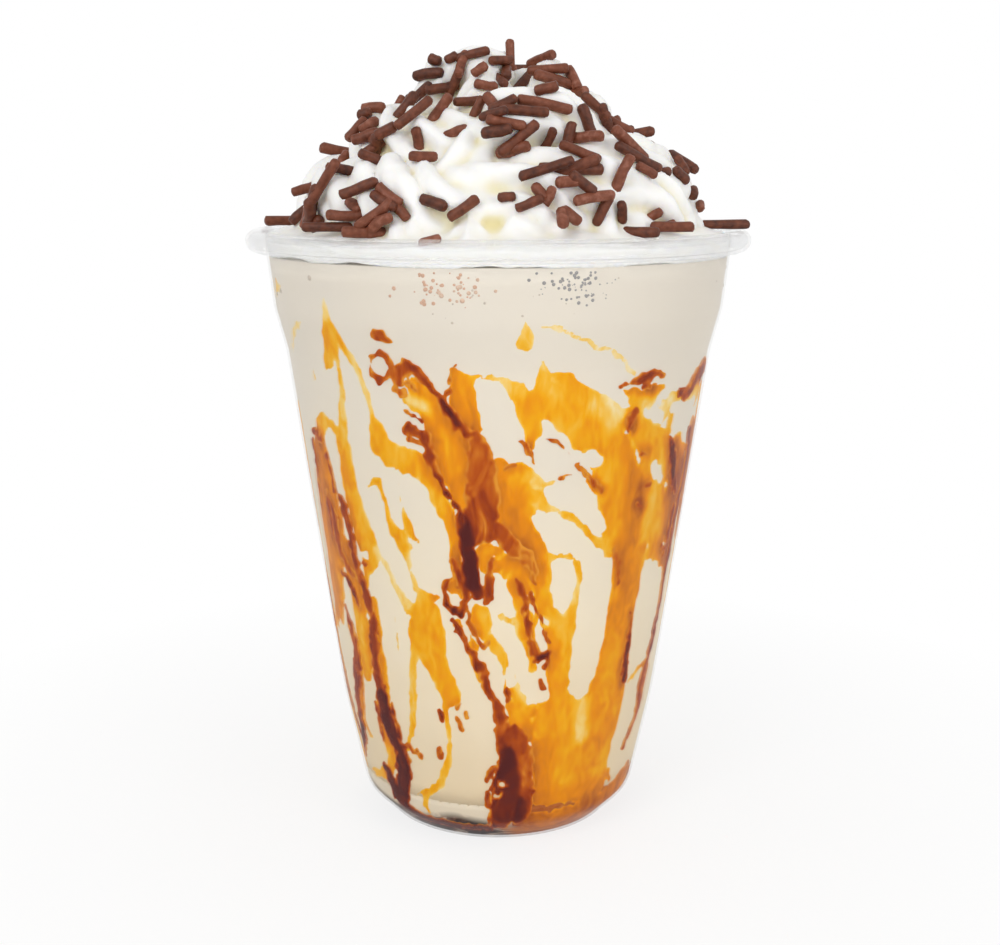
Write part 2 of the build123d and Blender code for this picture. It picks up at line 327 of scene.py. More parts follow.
        [(-4, 42.8, 0.4), (-2.8, 41, 0.9), (-1.5, 38.8, 1.1), (-0.2, 36.8, 0.9), (0.6, 35.5, 0.4)],
        [(12, 46.8, 0.4), (12.9, 44.8, 0.55), (13.6, 43, 0.5)],
        [(10, 36.5, 0.8), (12, 36, 1.5), (12.7, 33.5, 1.5), (11, 32.3, 0.9)],
        [(-12.4, 52.5, 0.6), (-12.3, 52.2, 0.6)], [(41, 86.2, 0.5), (43.5, 85.8, 1.2), (46, 85, 1.0)],
        [(55, 82.5, 0.8), (58, 82, 0.9)],
        [(52, 86.3, 0.7), (56, 85.6, 1.0), (61, 85.2, 1.0), (66, 86, 1.0)],
        # The first gap below is a painted highlight, a pale dot for a bubble's glint.
        [(14.2, 48.2, 0.35), (14.4, 47.8, 0.35)], [(-42.8, 58.7, 0.5), (-42, 58.5, 0.5)],
        [(3.6, 38.2, 0.4), (4.2, 36.2, 0.6)], [(-9.8, 45.8, 0.5), (-9, 44.6, 0.4)],
        [(-54.5, 50, 0.5), (-54.3, 47.5, 1.0), (-55, 45.5, 0.5)],
    ],
    "tones": [
        (0.56, 6.0, [[(14, 26, 4), (22, 19, 6), (38, 22, 5)], [(41, 62, 4), (38, 40, 4), (40, 22, 4)]]),
        (0.80, 4.0, [[(8, 5, 3.0), (20, 5, 3.4), (35, 6, 3.6), (50, 8, 4.0), (64, 12, 4.0)]]),
        (0.60, 4.5,
         [[(24.5, 85, 1.8), (25, 81, 2.0)],
          [(36, 78, 2.5), (38, 70, 3.4), (40, 62, 3.6), (41, 55, 3.0), (40, 45, 1.4)],
          [(36, 33, 3.0), (40, 30, 4.0), (39, 22, 3.5)], [(2, 72, 2.0), (6, 65, 2.6), (8, 61, 2.4)],
          [(-19, 90, 2.0), (-14, 84, 3.0), (-11, 76, 3.0)], [(-9, 92, 2.5), (-6, 87, 2.0)],
          [(-12, 60, 2.0), (-10, 55, 1.6)], [(-49, 57, 4.0), (-48, 48, 2.0)],
          [(16, 30, 0.6), (17, 14, 1.0)]]),
        (0.66, 4.0,
         [[(-58, 78, 3.0), (-60, 66, 4.0), (-63, 52, 3.0), (-66, 44, 2.4)], [(16, 11, 1.6), (46, 11, 1.6)],
          [(32, 91, 1.0), (46, 90.5, 1.6)], [(53, 60, 2.0), (62, 55, 2.0)]]),
        (0.82, 3.0,
         [[(56, 78, 2.4), (60, 72, 4.0), (63, 64, 4.0), (65, 55, 2.0), (65, 36, 1.6)],
          [(55, 88.5, 1.5), (70, 92, 3.0)], [(62, 33, 2.0), (60, 24, 2.0)],
          [(-57, 70, 0.8), (-57, 60, 1.2)], [(73, 80, 3.0), (74, 60, 3.0)]]),
        (0.70, 1.8,
         [[(35, 85.5, 1.4), (37, 84, 1.2)], [(24, 74.5, 1.0), (29, 73, 0.8)],
          [(38, 60, 0.9), (41, 52, 0.8)], [(7.5, 82, 0.9), (9, 79, 0.6)], [(42, 69, 1.2), (43, 62, 1.0)],
          [(-54, 57, 1.4), (-47, 55, 1.2)]]),
        (0.15, 1.6,
         [[(-72, 106, 2.0), (-65, 108, 2.0)], [(-55, 103, 1.6), (-69, 95, 1.6)],
          [(-55, 96, 1.2), (-53.5, 88, 1.2)], [(-43.5, 108, 2.0), (-43.3, 104, 1.2)],
          [(-33, 49, 1.0), (-33.5, 38, 1.0)], [(-27.3, 75, 0.8), (-26.6, 70, 0.8)],
          [(-36, 60, 1.4), (-28, 50.5, 1.2)], [(10, 103.2, 1.2), (23, 99.7, 1.2), (35, 94, 1.2)],
          [(0, 95, 1.0), (4, 94, 1.0)], [(9, 97, 1.0), (10.5, 95.5, 1.0)],
          [(27, 90.5, 1.2), (31.5, 87, 1.6)]]),
        (0.27, 2.4,
         [[(-42.5, 95, 1.4), (-43.3, 86, 1.4)], [(-38, 96.5, 1.6), (-33.5, 88, 1.6)],
          [(6.1, 104, 2.4), (6.1, 100, 2.4)], [(-1, 94, 1.2), (5, 92.5, 1.8)],
          [(11, 93.5, 1.6), (14, 91, 1.0)], [(24, 89, 1.0), (30, 85, 1.4)],
          [(-25.5, 60, 1.0), (-23, 53, 1.6)], [(-36, 18, 1.5), (-27.3, 40, 1.5)],
          [(11, 71, 1.3), (33, 60.5, 1.2)], [(15, 60.5, 1.2), (23, 58.5, 1.3), (23.5, 52, 1.4)],
          [(28, 31, 1.4), (29, 23, 1.6)], [(48, 72, 1.4), (47, 62, 1.2)], [(9, 76, 1.5), (15, 75, 1.0)],
          [(5.5, 38, 1.0), (7, 33, 1.0)], [(0.5, 49, 0.8), (7, 44, 0.8)], [(-17, 27, 0.8), (-17, 20, 0.8)],
          [(49, 31, 1.0), (53, 32, 1.0)]]),
        (0.14, 2.4,
         [[(-22, 90, 1.2), (-18.5, 88.8, 1.2)], [(40, 87.5, 1.8), (46, 86, 1.6), (51, 88, 1.5)],
          [(56, 86.5, 1.6), (66, 87.5, 2.2)]]),
    ],
}

chocolate = {
    "columns": 800, "rows": 316, "stands": 0.25, "thickness": 0.13, "rounding": 0.5, "soften": 0.3,
    "wander": (0.45, 0.45), "ragged": 0.42, "baseTone": 0.5,
    "strokes": [
        [(82, 66, 0.7), (84.5, 44, 1.2), (87, 24, 0.7)], [(-83, 74, 0.8), (-85, 50, 1.3), (-88, 30, 0.7)],
        [(3, 11, 3.2), (2, 8, 2.8), (1, 5.5, 2.2)],
        [(-48, 13, 1.2), (-44, 7.5, 1.6), (-38, 4.6, 1.5), (-29, 3.6, 1.3), (-17, 3.4, 1.2),
         (-5, 3.6, 1.2)],
        [(5, 25.5, 1.6), (8, 24.6, 1.2)],
        [(-30, 101, 0.4), (-28.6, 101.5, 0.85), (-27, 101.3, 0.85), (-25.4, 100.4, 0.6), (-24, 100, 0.3)],
        [(-31.6, 95.5, 0.35), (-31.2, 97, 0.45), (-29.5, 97.9, 0.5), (-27.5, 97.5, 0.5), (-26, 96, 0.6),
         (-26, 94.5, 0.5), (-27.5, 93.1, 0.7), (-29.4, 92.9, 0.9), (-31, 93.8, 0.5), (-31.5, 95, 0.3)],
        [(-25.4, 94.2, 0.9), (-24, 93.3, 1.1), (-23, 95, 1.35), (-21.2, 96, 1.15), (-19.3, 95.5, 0.9),
         (-18.2, 94.2, 0.85), (-17, 93.3, 0.75), (-15.6, 92, 0.65), (-14.5, 91, 0.6), (-13.5, 90.2, 0.85),
         (-12.5, 89, 0.95), (-11.5, 87.5, 1.1), (-10, 86.1, 0.95), (-8, 85.2, 0.8), (-6, 84, 0.8),
         (-4.5, 83, 0.6), (-3, 81.5, 0.5), (-1.5, 80, 0.3)],
        [(-12.4, 90.2, 0.5), (-12, 93, 0.3), (-11.3, 95.6, 0.3), (-9.8, 96.6, 0.2)],
        [(-25.3, 91.2, 0.6), (-23.6, 90.8, 0.75), (-22.6, 91.6, 0.4)],
        [(-23.5, 92.5, 0.4), (-21.5, 92.8, 0.4), (-20.5, 91.8, 0.3)],
        [(-24, 88.4, 0.2), (-21.5, 87.3, 0.25), (-19, 86.2, 0.3)],
        [(-22.4, 82.8, 0.5), (-20.8, 82.2, 0.5), (-19.6, 81.6, 0.3)],
        [(-23.4, 84.5, 0.5), (-22, 85, 0.8), (-20.5, 84.6, 0.95), (-19, 83.8, 0.95), (-18, 82, 1.0),
         (-17.2, 80, 1.2), (-16.6, 78, 1.05), (-16, 76.2, 0.6), (-15, 75, 0.45), (-13.5, 73.2, 0.45),
         (-12, 71.8, 0.45), (-10.5, 70.3, 0.55), (-9.7, 68.5, 0.9), (-9.3, 66, 1.2), (-8.5, 63, 1.4),
         (-7.8, 60, 1.4)],
        [(-5.5, 83.5, 0.7), (-4.6, 81.2, 2.1), (-4, 77, 2.8), (-4, 73, 2.9), (-4.2, 69.5, 3.1),
         (-4.8, 67, 3.3)],
        [(-7, 65, 2.3), (-8, 62, 1.8), (-7.5, 59, 1.7), (-7, 56, 1.6), (-5.5, 54, 1.2)],
        [(0, 66.5, 1.6), (2.5, 64.5, 1.6), (5, 62.4, 1.5), (8, 60.7, 1.2), (10, 58.7, 0.9),
         (10.3, 56, 0.5)],
        [(-2.2, 60.5, 0.6), (-2.3, 57, 0.9), (-2.8, 54, 0.9), (-3, 52.3, 0.5)],
        [(-12, 57.3, 0.4), (-14.3, 56, 0.5), (-15.4, 53.5, 0.6), (-15, 51.2, 0.7), (-13, 50, 0.85),
         (-11, 49.3, 0.85), (-9.7, 50.4, 0.6), (-9.2, 53, 0.7), (-9, 56, 1.0)],
        [(-12.5, 60, 0.7), (-11, 57.4, 0.7), (-10.8, 55, 0.5)],
        [(-8.6, 51, 0.35), (-8.4, 48, 0.4), (-7.5, 45.8, 0.5), (-6.3, 44.4, 0.5), (-4.5, 43.7, 0.5),
         (-3, 44.4, 0.3)],
        [(-13.8, 48.6, 0.35), (-12, 46.6, 0.5), (-10.5, 44.6, 0.6), (-9, 42.8, 0.6), (-7.6, 42, 0.65),
         (-6.5, 40, 0.75), (-5.3, 38, 0.85), (-4, 36, 0.75), (-2.5, 34, 0.75), (-1, 32.5, 0.85),
         (0.5, 30.5, 1.1), (1, 28, 1.3), (2, 25, 1.7), (3.6, 22, 2.4), (5, 19, 3.0), (5.2, 16, 3.3),
         (4.9, 13, 3.7), (4.8, 10, 3.8), (4.8, 8.8, 3.8)],
        [(8.2, 24.6, 0.9), (9.4, 21.5, 1.2), (10.2, 17.5, 1.2), (10.8, 13.8, 1.3), (11.8, 12, 0.8)],
        [(-4.6, 14.6, 0.5), (-2.7, 16, 0.8), (-1, 17.6, 0.8)],
        [(-4, 12, 0.7), (-3, 10, 0.8), (-2.8, 9, 0.8)], [(-5.8, 39.4, 0.9), (-4.5, 38.2, 0.9)],
        [(2.5, 34.2, 0.5), (4, 32.2, 0.6)],
        [(4.8, 56.6, 0.4), (6.4, 54.6, 0.65), (7.3, 53, 0.65), (7.8, 51, 0.6), (8.3, 48.5, 0.65),
         (8.9, 46.3, 0.6), (10, 44, 0.6), (11, 42, 0.8), (12.5, 40.6, 0.8), (14, 40.8, 1.0),
         (15, 41.6, 0.9), (15.3, 40, 0.7), (14.5, 38.6, 0.3)],
        [(15, 43.4, 0.45), (14, 45.6, 0.35), (12.6, 47.8, 0.35), (11.3, 50, 0.35), (10, 52, 0.35),
         (9.2, 54, 0.3)],
        [(13, 35.9, 0.35), (14.2, 34.6, 0.35)],
        [(5.4, 82.6, 0.35), (6.9, 82, 0.6), (7.9, 80.6, 0.6), (9, 78.6, 0.3)],
        [(11.8, 83.6, 0.2), (15.5, 81.6, 0.3), (19, 79.4, 0.35), (21.5, 77, 0.45), (24.5, 74.8, 0.5),
         (28, 73, 0.35)],
        [(15.8, 75.4, 0.35), (17.5, 75.6, 0.35), (20, 76.8, 0.25)], [(2, 77.8, 0.3), (4.8, 78, 0.2)],
        [(-19.4, 29.2, 0.4), (-18.7, 28, 0.7)], [(-12.8, 30.6, 0.5), (-11.8, 31.8, 0.3)],
        [(-13.6, 28.6, 0.4), (-12.6, 26, 0.6)], [(-10.2, 29, 0.4), (-9.8, 28.2, 0.4)],
        [(-20, 21.4, 0.5), (-21.4, 19.6, 0.45)], [(-30.6, 19.6, 0.5), (-28.8, 19, 0.6)],
        [(-2.8, 94.8, 0.3), (-1.5, 95, 0.2)], [(-42.8, 57.6, 0.4), (-42.2, 57.2, 0.4)],
        [(-50, 69.2, 0.5), (-48.7, 67, 1.2), (-47.6, 63.5, 1.1), (-47, 60, 1.1), (-46.4, 57, 1.1),
         (-45.4, 54, 1.1), (-44, 51, 1.1), (-43, 48, 1.2), (-42.5, 45, 1.0), (-43, 42, 1.2),
         (-43.5, 38, 1.3), (-43.5, 35, 1.2), (-43, 32, 1.3), (-43, 29, 1.8), (-42, 26, 2.1), (-41, 23, 2.0),
         (-40, 21, 1.6), (-38, 19.3, 1.5), (-37.2, 17, 1.8), (-38, 14, 2.0), (-39.5, 11, 1.9),
         (-40, 9, 1.7)],
        [(-46.5, 27.5, 0.5), (-45.5, 23, 0.7), (-46, 20, 0.5)],
        [(-38.6, 29, 0.4), (-37.4, 25, 0.7), (-37, 21.5, 0.6)],
        [(-36, 19.6, 0.6), (-33.5, 20.3, 0.35), (-31, 19.6, 0.4)],
        [(-56.5, 68, 0.5), (-55, 64.5, 1.2), (-55.3, 61, 1.2), (-54.5, 57.5, 1.0), (-51, 55, 0.9),
         (-48, 54, 0.8)],
        [(-57.5, 70, 0.4), (-58.3, 65, 0.6), (-58, 60, 0.5)],
        [(-56, 53.5, 0.4), (-53, 52.5, 0.6), (-50, 50.5, 0.6), (-48, 48, 0.4)],
        [(-57.2, 46, 0.4), (-55.2, 42, 1.0), (-54.1, 38, 1.1), (-55, 34, 1.4), (-57, 30, 1.7),
         (-59.5, 27, 1.4), (-61, 22, 1.1), (-61, 19.5, 1.4), (-62.5, 17, 1.4), (-65, 14.5, 0.8),
         (-67, 13, 0.4)],
        [(-60.5, 81, 0.6), (-57.5, 80.7, 1.1), (-56, 79.4, 0.7)],
        [(-53.8, 76.2, 0.7), (-52.6, 73, 0.7), (-52.5, 70, 0.4)],
        [(-62, 79, 0.5), (-62.5, 73, 0.5), (-64, 66, 0.5)],
        [(31, 91.8, 0.3), (34, 92.2, 0.55), (37, 92.5, 0.85), (40, 92.8, 0.9), (43, 93, 0.8),
         (45.6, 93, 0.45)],
        [(38, 91.4, 0.3), (41, 90.8, 0.4)], [(35.2, 83.5, 0.3), (35.2, 85.5, 0.9), (36.8, 86.5, 0.5)],
        [(52, 80.2, 0.5), (54, 78.6, 1.1), (56, 76.6, 1.2), (57.5, 74, 1.3), (59, 71.5, 1.2),
         (62, 69, 1.2)],
        [(53.5, 88.8, 0.5), (57, 88, 0.8), (60, 88.4, 0.9), (64, 90.6, 1.4), (69, 92, 1.6),
         (75, 91.5, 1.2)],
        [(66, 80.5, 1.4), (68, 77, 1.6), (69, 72, 1.4), (67, 66.5, 1.2), (66, 61, 1.2), (66.5, 56, 1.0),
         (65.5, 50, 0.9), (65, 44, 0.9), (64, 38.5, 1.0), (62, 35.5, 1.0), (60.5, 33.5, 1.0),
         (59.5, 30, 1.6), (59.5, 27, 1.4), (60, 24.5, 1.0), (59, 21.8, 1.0), (57, 19.4, 0.9),
         (55, 17, 0.6)],
        [(62.5, 66, 0.8), (62, 60, 0.8), (61, 56, 0.4)],
        [(57.5, 58.2, 0.25), (60, 57.4, 0.45), (62.5, 57, 0.4)],
        [(45.4, 46.4, 0.35), (46, 43, 0.55), (46, 40, 0.9), (45.8, 37, 0.9), (46.3, 34.5, 1.1),
         (46.8, 32, 0.6)],
        [(34.8, 61, 0.5), (36.4, 58, 0.6), (38, 54, 0.4)], [(45.5, 72.6, 0.6), (43, 72.2, 0.35)],
        [(41, 78.8, 0.5), (43, 78.6, 0.4)], [(41.5, 69, 0.3), (44.5, 67.8, 0.5)],
    ],
    "gaps": [
        # The first gap below is a painted highlight, a pale streak along the chocolate line.
        [(-14.6, 76.2, 0.3), (-13, 73.8, 0.25)], [(-12.4, 52.5, 0.6), (-12.3, 52.2, 0.6)],
        [(-4.6, 62.6, 0.9), (-4, 60.8, 0.7)], [(1, 14.6, 0.3), (1.8, 14, 0.3)],
        [(-0.6, 12, 0.25), (0.4, 12.2, 0.3)],
    ],
    "tones": [
        (0.32, 1.6,
         [[(-4, 83, 1.6), (-3.6, 76, 3.0), (-3, 69, 3.0)], [(0, 67, 2.0), (10, 58, 2.0)],
          [(4, 27, 2.0), (8, 24, 2.2), (11, 18, 1.2), (11.5, 13, 1.2)], [(-30, 96, 3.0), (-24, 91, 2.0)],
          [(-22, 84, 1.6), (-20, 82, 1.2)], [(12, 84, 1.2), (28, 73, 1.6)], [(6, 83, 1.2), (9, 79, 1.2)],
          [(60, 26, 3.0), (57, 19, 2.0)], [(-57, 56, 2.0), (-48, 54, 2.0)], [(35, 85, 1.6), (37, 86, 1.6)],
          [(34, 61, 1.4), (38, 54, 1.4)]]),
        (0.92, 1.2,
         [[(-14, 91, 0.6), (-10, 86, 0.7)], [(-16, 76, 0.5), (-10, 69.5, 0.6)],
          [(-9.4, 68, 1.0), (-8, 62, 1.4), (-6.6, 56, 1.4)],
          [(-42.5, 30, 1.4), (-41, 24, 1.6), (-38, 16, 1.6), (-39.5, 9.5, 1.8)],
          [(3, 21, 1.4), (3.6, 16, 2.4), (4, 9, 3.6)], [(-15, 51, 0.8), (-10, 49.6, 0.8)],
          [(13, 40.6, 0.8), (15, 41, 0.8)], [(46, 41, 0.8), (46.4, 33, 0.8)],
          [(-61, 20, 1.0), (-63, 16, 1.0)], [(54, 78.6, 1.2), (58, 73, 1.2)]]),
        (1.0, 1.5,
         [[(-48, 13, 1.6), (-44, 7.5, 2.2), (-38, 4.6, 2.2), (-29, 3.6, 2.0), (-17, 3.4, 2.0),
           (-5, 3.6, 2.0)]]),
        (0.34, 1.6, [[(9.5, 24, 1.4), (10.5, 18, 1.4), (10.5, 12, 1.2)]]),
    ],
}

# Both films: the heights they keep to, how deep they reach into the drink, how softly gaps are cut, and how
# much and how far chocolate tints the caramel beside it.
film = {"foot": 2.4, "top": 111, "depth": 0.5, "gapSoften": 0.3, "tint": 0.20, "tintReach": 1.8,
        "deepest": 0.88}
backStreaks = {"caramelRuns": 17, "chocolateRuns": 8, "gapRuns": 15, "from": 86, "to": 274}


# seeded noise from -1 to 1 that joins up round the cup
def smoothNoise(columns, rows, across, down, seed):
    rng = np.random.default_rng(seed)
    coarse = rng.uniform(-1, 1, (down + 3, across))
    u = np.arange(columns) / columns * across
    v = np.arange(rows) / rows * down
    iu, iv = u.astype(int), v.astype(int)
    fu, fv = u - iu, v - iv
    fu, fv = fu * fu * (3 - 2 * fu), fv * fv * (3 - 2 * fv)
    a = coarse[iv][:, iu % across] * (1 - fu) + coarse[iv][:, (iu + 1) % across] * fu
    b = coarse[iv + 1][:, iu % across] * (1 - fu) + coarse[iv + 1][:, (iu + 1) % across] * fu
    return a * (1 - fv[:, None]) + b * fv[:, None]


# how far inside the strokes each point is, in mm, below zero outside them
def strokeField(strokes, angles, heights, soften):
    field = np.full(angles.shape, -9.0)
    for stroke in strokes:
        for (a0, h0, w0), (a1, h1, w1) in zip(stroke, stroke[1:]):
            metric = math.radians(1) * float(wallRadius((h0 + h1) / 2))
            reach = max(w0, w1) + 5
            rows = (heights[:, 0] > min(h0, h1) - reach) & (heights[:, 0] < max(h0, h1) + reach)
            if not rows.any():
                continue
            du = ((angles[rows] - a0 + 180) % 360 - 180) * metric
            dv = heights[rows] - h0
            su, sv = (a1 - a0) * metric, h1 - h0
            along = np.clip((du * su + dv * sv) / max(su * su + sv * sv, 1e-6), 0, 1)
            inside = w0 + (w1 - w0) * along - np.hypot(du - along * su, dv - along * sv)
            old = field[rows]
            blend = np.clip(0.5 + 0.5 * (inside - old) / soften, 0, 1)
            field[rows] = old * (1 - blend) + inside * blend + soften * blend * (1 - blend)
    return field


# runs of sauce down the side away from the front: each wanders, swells and thins on its way down
def backRuns(count, low, high, widths, seed, lean):
    rng = np.random.default_rng(seed)
    runs = []
    span = backStreaks["to"] - backStreaks["from"]
    for i in range(count):
        angle = backStreaks["from"] + span * (i + rng.uniform(0.2, 0.8)) / count
        top, foot = rng.uniform(*high), rng.uniform(*low)
        steps = max(int((top - foot) / 6), 2)
        drift, run = rng.uniform(*lean) / steps, []
        for s in range(steps + 1):
            share = s / steps
            width = rng.uniform(*widths) * (0.35 + 0.65 * math.sin(math.pi * min(share * 1.1 + 0.05, 1)))
            run.append((angle, top + (foot - top) * share, width))
            angle += drift + rng.uniform(-1.6, 1.6)
        runs.append(run)
    return runs


caramel["strokes"] += backRuns(backStreaks["caramelRuns"], (4, 24), (74, 102), (2.0, 6.4), 3, (4, 30))
caramel["gaps"] += backRuns(backStreaks["gapRuns"], (14, 50), (48, 84), (0.8, 2.6), 4, (2, 16))
chocolate["strokes"] += backRuns(backStreaks["chocolateRuns"], (5, 26), (66, 96), (0.6, 2.7), 5, (6, 34))
caramel["tones"].append((0.62, 2.0, backRuns(7, (20, 40), (60, 90), (1.5, 4.0), 6, (4, 20))))
caramel["tones"].append((0.25, 2.0, backRuns(9, (20, 60), (60, 100), (1.0, 2.6), 7, (4, 20))))
chocolate["tones"].append((0.34, 1.6, backRuns(6, (20, 60), (60, 96), (1.0, 2.6), 9, (4, 20))))


def sauceGrid(plan, seed):
    columns, rows = plan["columns"], plan["rows"]
    angles = np.linspace(0, 360, columns, endpoint=False)[None, :].repeat(rows, 0)
    heights = np.linspace(film["foot"], film["top"], rows)[:, None].repeat(columns, 1)
    across, down = plan["wander"]
    acrossBy = smoothNoise(columns, rows, 90, 40, seed)
    acrossBy = acrossBy + 0.8 * smoothNoise(columns, rows, 220, 90, seed + 1)
    downBy = smoothNoise(columns, rows, 90, 36, seed + 2)
    downBy = downBy + 0.8 * smoothNoise(columns, rows, 220, 90, seed + 3)
    return angles, heights, angles + across * acrossBy, heights + down * downBy


def toneField(plan, angles, heights):
    tone = np.full(angles.shape, plan["baseTone"])
    for value, soft, strokes in plan["tones"]:
        share = np.clip(0.5 + strokeField(strokes, angles, heights, soft) / soft, 0, 1)
        tone += (value - tone) * share * share * (3 - 2 * share)
    return tone


# a thin film over every part of the wall where the field is above zero, cut off sharply at its edge
def sauceFilm(plan, name, field, angles, heights, tone):
    columns = field.shape[1]
    points, values, index, faces = [], [], {}, []

    def nodeAt(i, j):
        key = (i, j)
        if key not in index:
            index[key] = len(points)
            points.append((angles[i, j], heights[i, j]))
            values.append((field[i, j], tone[i, j]))
        return index[key]

    def crossing(i0, j0, i1, j1):
        key = (i0, j0, i1, j1) if (i0, j0) < (i1, j1) else (i1, j1, i0, j0)
        if key not in index:
            i0, j0, i1, j1 = key
            share = field[i0, j0] / (field[i0, j0] - field[i1, j1])
            a0, a1 = angles[i0, j0], angles[i1, j1]
            if abs(a1 - a0) > 180:  # the edge that joins the last column to the first
                a0, a1 = (a0 - 360, a1) if a0 > a1 else (a0, a1 - 360)
            index[key] = len(points)
            h0, h1 = heights[i0, j0], heights[i1, j1]
            points.append((a0 + (a1 - a0) * share, h0 + (h1 - h0) * share))
            values.append((0, tone[i0, j0] + (tone[i1, j1] - tone[i0, j0]) * share))
        return index[key]

    solid = field > 0
    wrapped = np.concatenate([solid, solid[:, :1]], 1)
    anyIn = wrapped[:-1, :-1] | wrapped[1:, :-1] | wrapped[:-1, 1:] | wrapped[1:, 1:]
    for i, j in zip(*np.nonzero(anyIn)):
        k = (j + 1) % columns
        corners = [(i, j), (i, k), (i + 1, k), (i + 1, j)]
        face = []
        for c in range(4):
            here, after = corners[c], corners[(c + 1) % 4]
            if solid[here]:
                face.append(nodeAt(*here))
            if solid[here] != solid[after]:
                face.append(crossing(*here, *after))
        if len(set(face)) > 2:
            faces.append(face)
    points, values = np.array(points), np.array(values)
    depth = np.maximum(values[:, 0], 0)
    swell = plan["thickness"] * (1 - np.exp(-depth / plan["rounding"]))
    reach = wallRadius(points[:, 1]) + plan["stands"] + swell
    turn = np.radians(points[:, 0])
    place = np.stack([reach * np.sin(turn), -reach * np.cos(turn), points[:, 1]], 1) * mm
    piece = meshPiece(name, place, faces)
    giveAttribute(piece, "depth", depth)
    giveAttribute(piece, "tone", values[:, 1])
    pickOnly(piece)
    applyModifier("SOLIDIFY", thickness=film["depth"] * mm, offset=-1)
    bpy.ops.object.shade_smooth_by_angle(angle=math.radians(50))
    print(name, len(piece.data.polygons), "faces")
    return piece


# the angle at which the plan is read: up to 3% nearer the front, so that its strokes lie that much further
# round, and from 120 degrees on unchanged
def towardsFront(angles):
    signed = (angles + 180) % 360 - 180
    return signed * (1 - 0.03 * np.clip((120 - np.abs(signed)) / 30, 0, 1))


def makeSauce(plan, name, seed, stain=None):
    angles, heights, warpedAngles, warpedHeights = sauceGrid(plan, seed)
    warpedAngles = towardsFront(warpedAngles)
    field = strokeField(plan["strokes"], warpedAngles, warpedHeights, plan["soften"])
    field = np.minimum(field, -strokeField(plan["gaps"], warpedAngles, warpedHeights, film["gapSoften"]))
    field += plan["ragged"] * smoothNoise(plan["columns"], plan["rows"], 260, 110, seed + 9)
    tone = toneField(plan, towardsFront(angles), heights)
    if stain:  # colour that has bled from the darker sauce
        near = strokeField(stain["strokes"], warpedAngles, warpedHeights, 0.5)
        tone += film["tint"] * np.clip(1 + near / film["tintReach"], 0, 1)
        tone = np.minimum(tone, film["deepest"])
    return sauceFilm(plan, name, field, angles, heights, tone)


chocolateFilm = makeSauce(chocolate, "chocolateSauce", 21)
caramelFilm = makeSauce(caramel, "caramelSauce", 41, stain=chocolate)


# whipped cream: a rope piped from a star nozzle, wound up in three turns, with short peaks on it
cream = {
    "nozzleTeeth": 6, "toothDepth": 0.32, "twistPerTurn": 2.6, "bunching": 0.18, "voxel": 0.62,
    "turns": [
        # share of the way, distance of the rope's middle from the axis, its height, its radius
        (0.00, 29.8, 121.0, 8.6), (0.16, 29.8, 121.6, 9.4), (0.36, 29.0, 122.2, 9.5),
        (0.46, 25.0, 126.0, 9.4), (0.56, 19.5, 131.2, 9.0), (0.68, 18.0, 133.4, 8.8),
        (0.80, 13.0, 138.6, 8.2), (0.90, 7.8, 143.0, 7.4), (0.97, 4.0, 146.4, 5.2), (1.00, 1.0, 149.4, 2.4),
    ],
    "wound": 3.15, "start": 205.0, "ropePoints": 420, "peakPoints": 12, "spinSteps": 96,
    # What stands further out than nearWall is moved: below tuckedBelow into the wall, and from there up to
    # lipHeight to lipGap short of it. Over that nothing stands out past lipInside. All are in mm.
    "foot": 113.0, "tuckedBelow": 116, "lipHeight": 117.2, "nearWall": 43.2, "lipInside": 43.9,
    "lipGap": 0.15,
    "mound": [(0, 145), (7, 144), (12, 139), (18, 132), (25, 126), (32, 121.5), (38, 118.6), (43.6, 117.0),
              (44.3, 115.5), (44.3, 113.0), (0, 113.0)],
    "peaks": [
        # angle from the front, distance out at foot and tip, heights of foot and tip, radii at both
        (68, 33, 31, 117.5, 125.5, 8.2, 4.6), (31, 34, 33.0, 115.5, 122, 7.6, 3.6),
        (8, 36, 35.5, 115, 120.5, 6.0, 2.8), (-8, 37, 36.5, 115, 120.5, 5.8, 2.6),
        (-26, 36.5, 35.5, 115, 121.5, 6.4, 2.8), (-46, 35, 33, 115, 123, 6.6, 3.0),
        (-72, 34, 31.5, 116, 124.5, 7.0, 3.2), (-14, 24.5, 17, 126, 138.5, 7.4, 3.4),
        (-52, 25, 20.5, 126, 134.5, 6.4, 2.6), (14, 27, 22, 124, 132.5, 6.0, 2.2),
        (46, 22, 17.5, 128, 138.5, 7.0, 2.8), (-78, 12, 10.5, 140, 149.6, 6.2, 2.6),
        (72, 11, 9.5, 140, 149.0, 6.0, 2.6), (-20, 12, 7, 138, 148, 5.6, 2.2),
        (110, 32, 29, 118, 127, 7.6, 3.0), (140, 35, 33, 116, 123, 6.8, 3.0),
        (165, 33, 29, 117, 127, 7.6, 3.0), (190, 35, 33, 116, 122.5, 6.4, 2.8),
        (215, 33, 30, 117, 126, 7.4, 3.0), (245, 35, 32, 116, 124, 6.8, 3.0),
        (120, 20, 16, 129, 139, 6.6, 2.6), (175, 21, 17, 128, 138, 6.8, 2.6),
        (230, 20, 17, 128, 137, 6.4, 2.6), (150, 9, 7, 140, 148.5, 5.6, 2.4),
    ],
}


def starProfile():
    data = bpy.data.curves.new("nozzle", "CURVE")
    line = data.splines.new("POLY")
    count = cream["nozzleTeeth"] * 8
    line.points.add(count - 1)
    for i in range(count):
        angle = 2 * math.pi * i / count
        tooth = math.sqrt(math.cos(cream["nozzleTeeth"] / 2 * angle) ** 2 + 0.015)
        reach = mm * (1 - cream["toothDepth"] * (1 - tooth))
        line.points[i].co = (reach * math.cos(angle), reach * math.sin(angle), 0, 1)
    line.use_cyclic_u = True
    piece = bpy.data.objects.new("nozzle", data)
    scene.collection.objects.link(piece)
    return piece


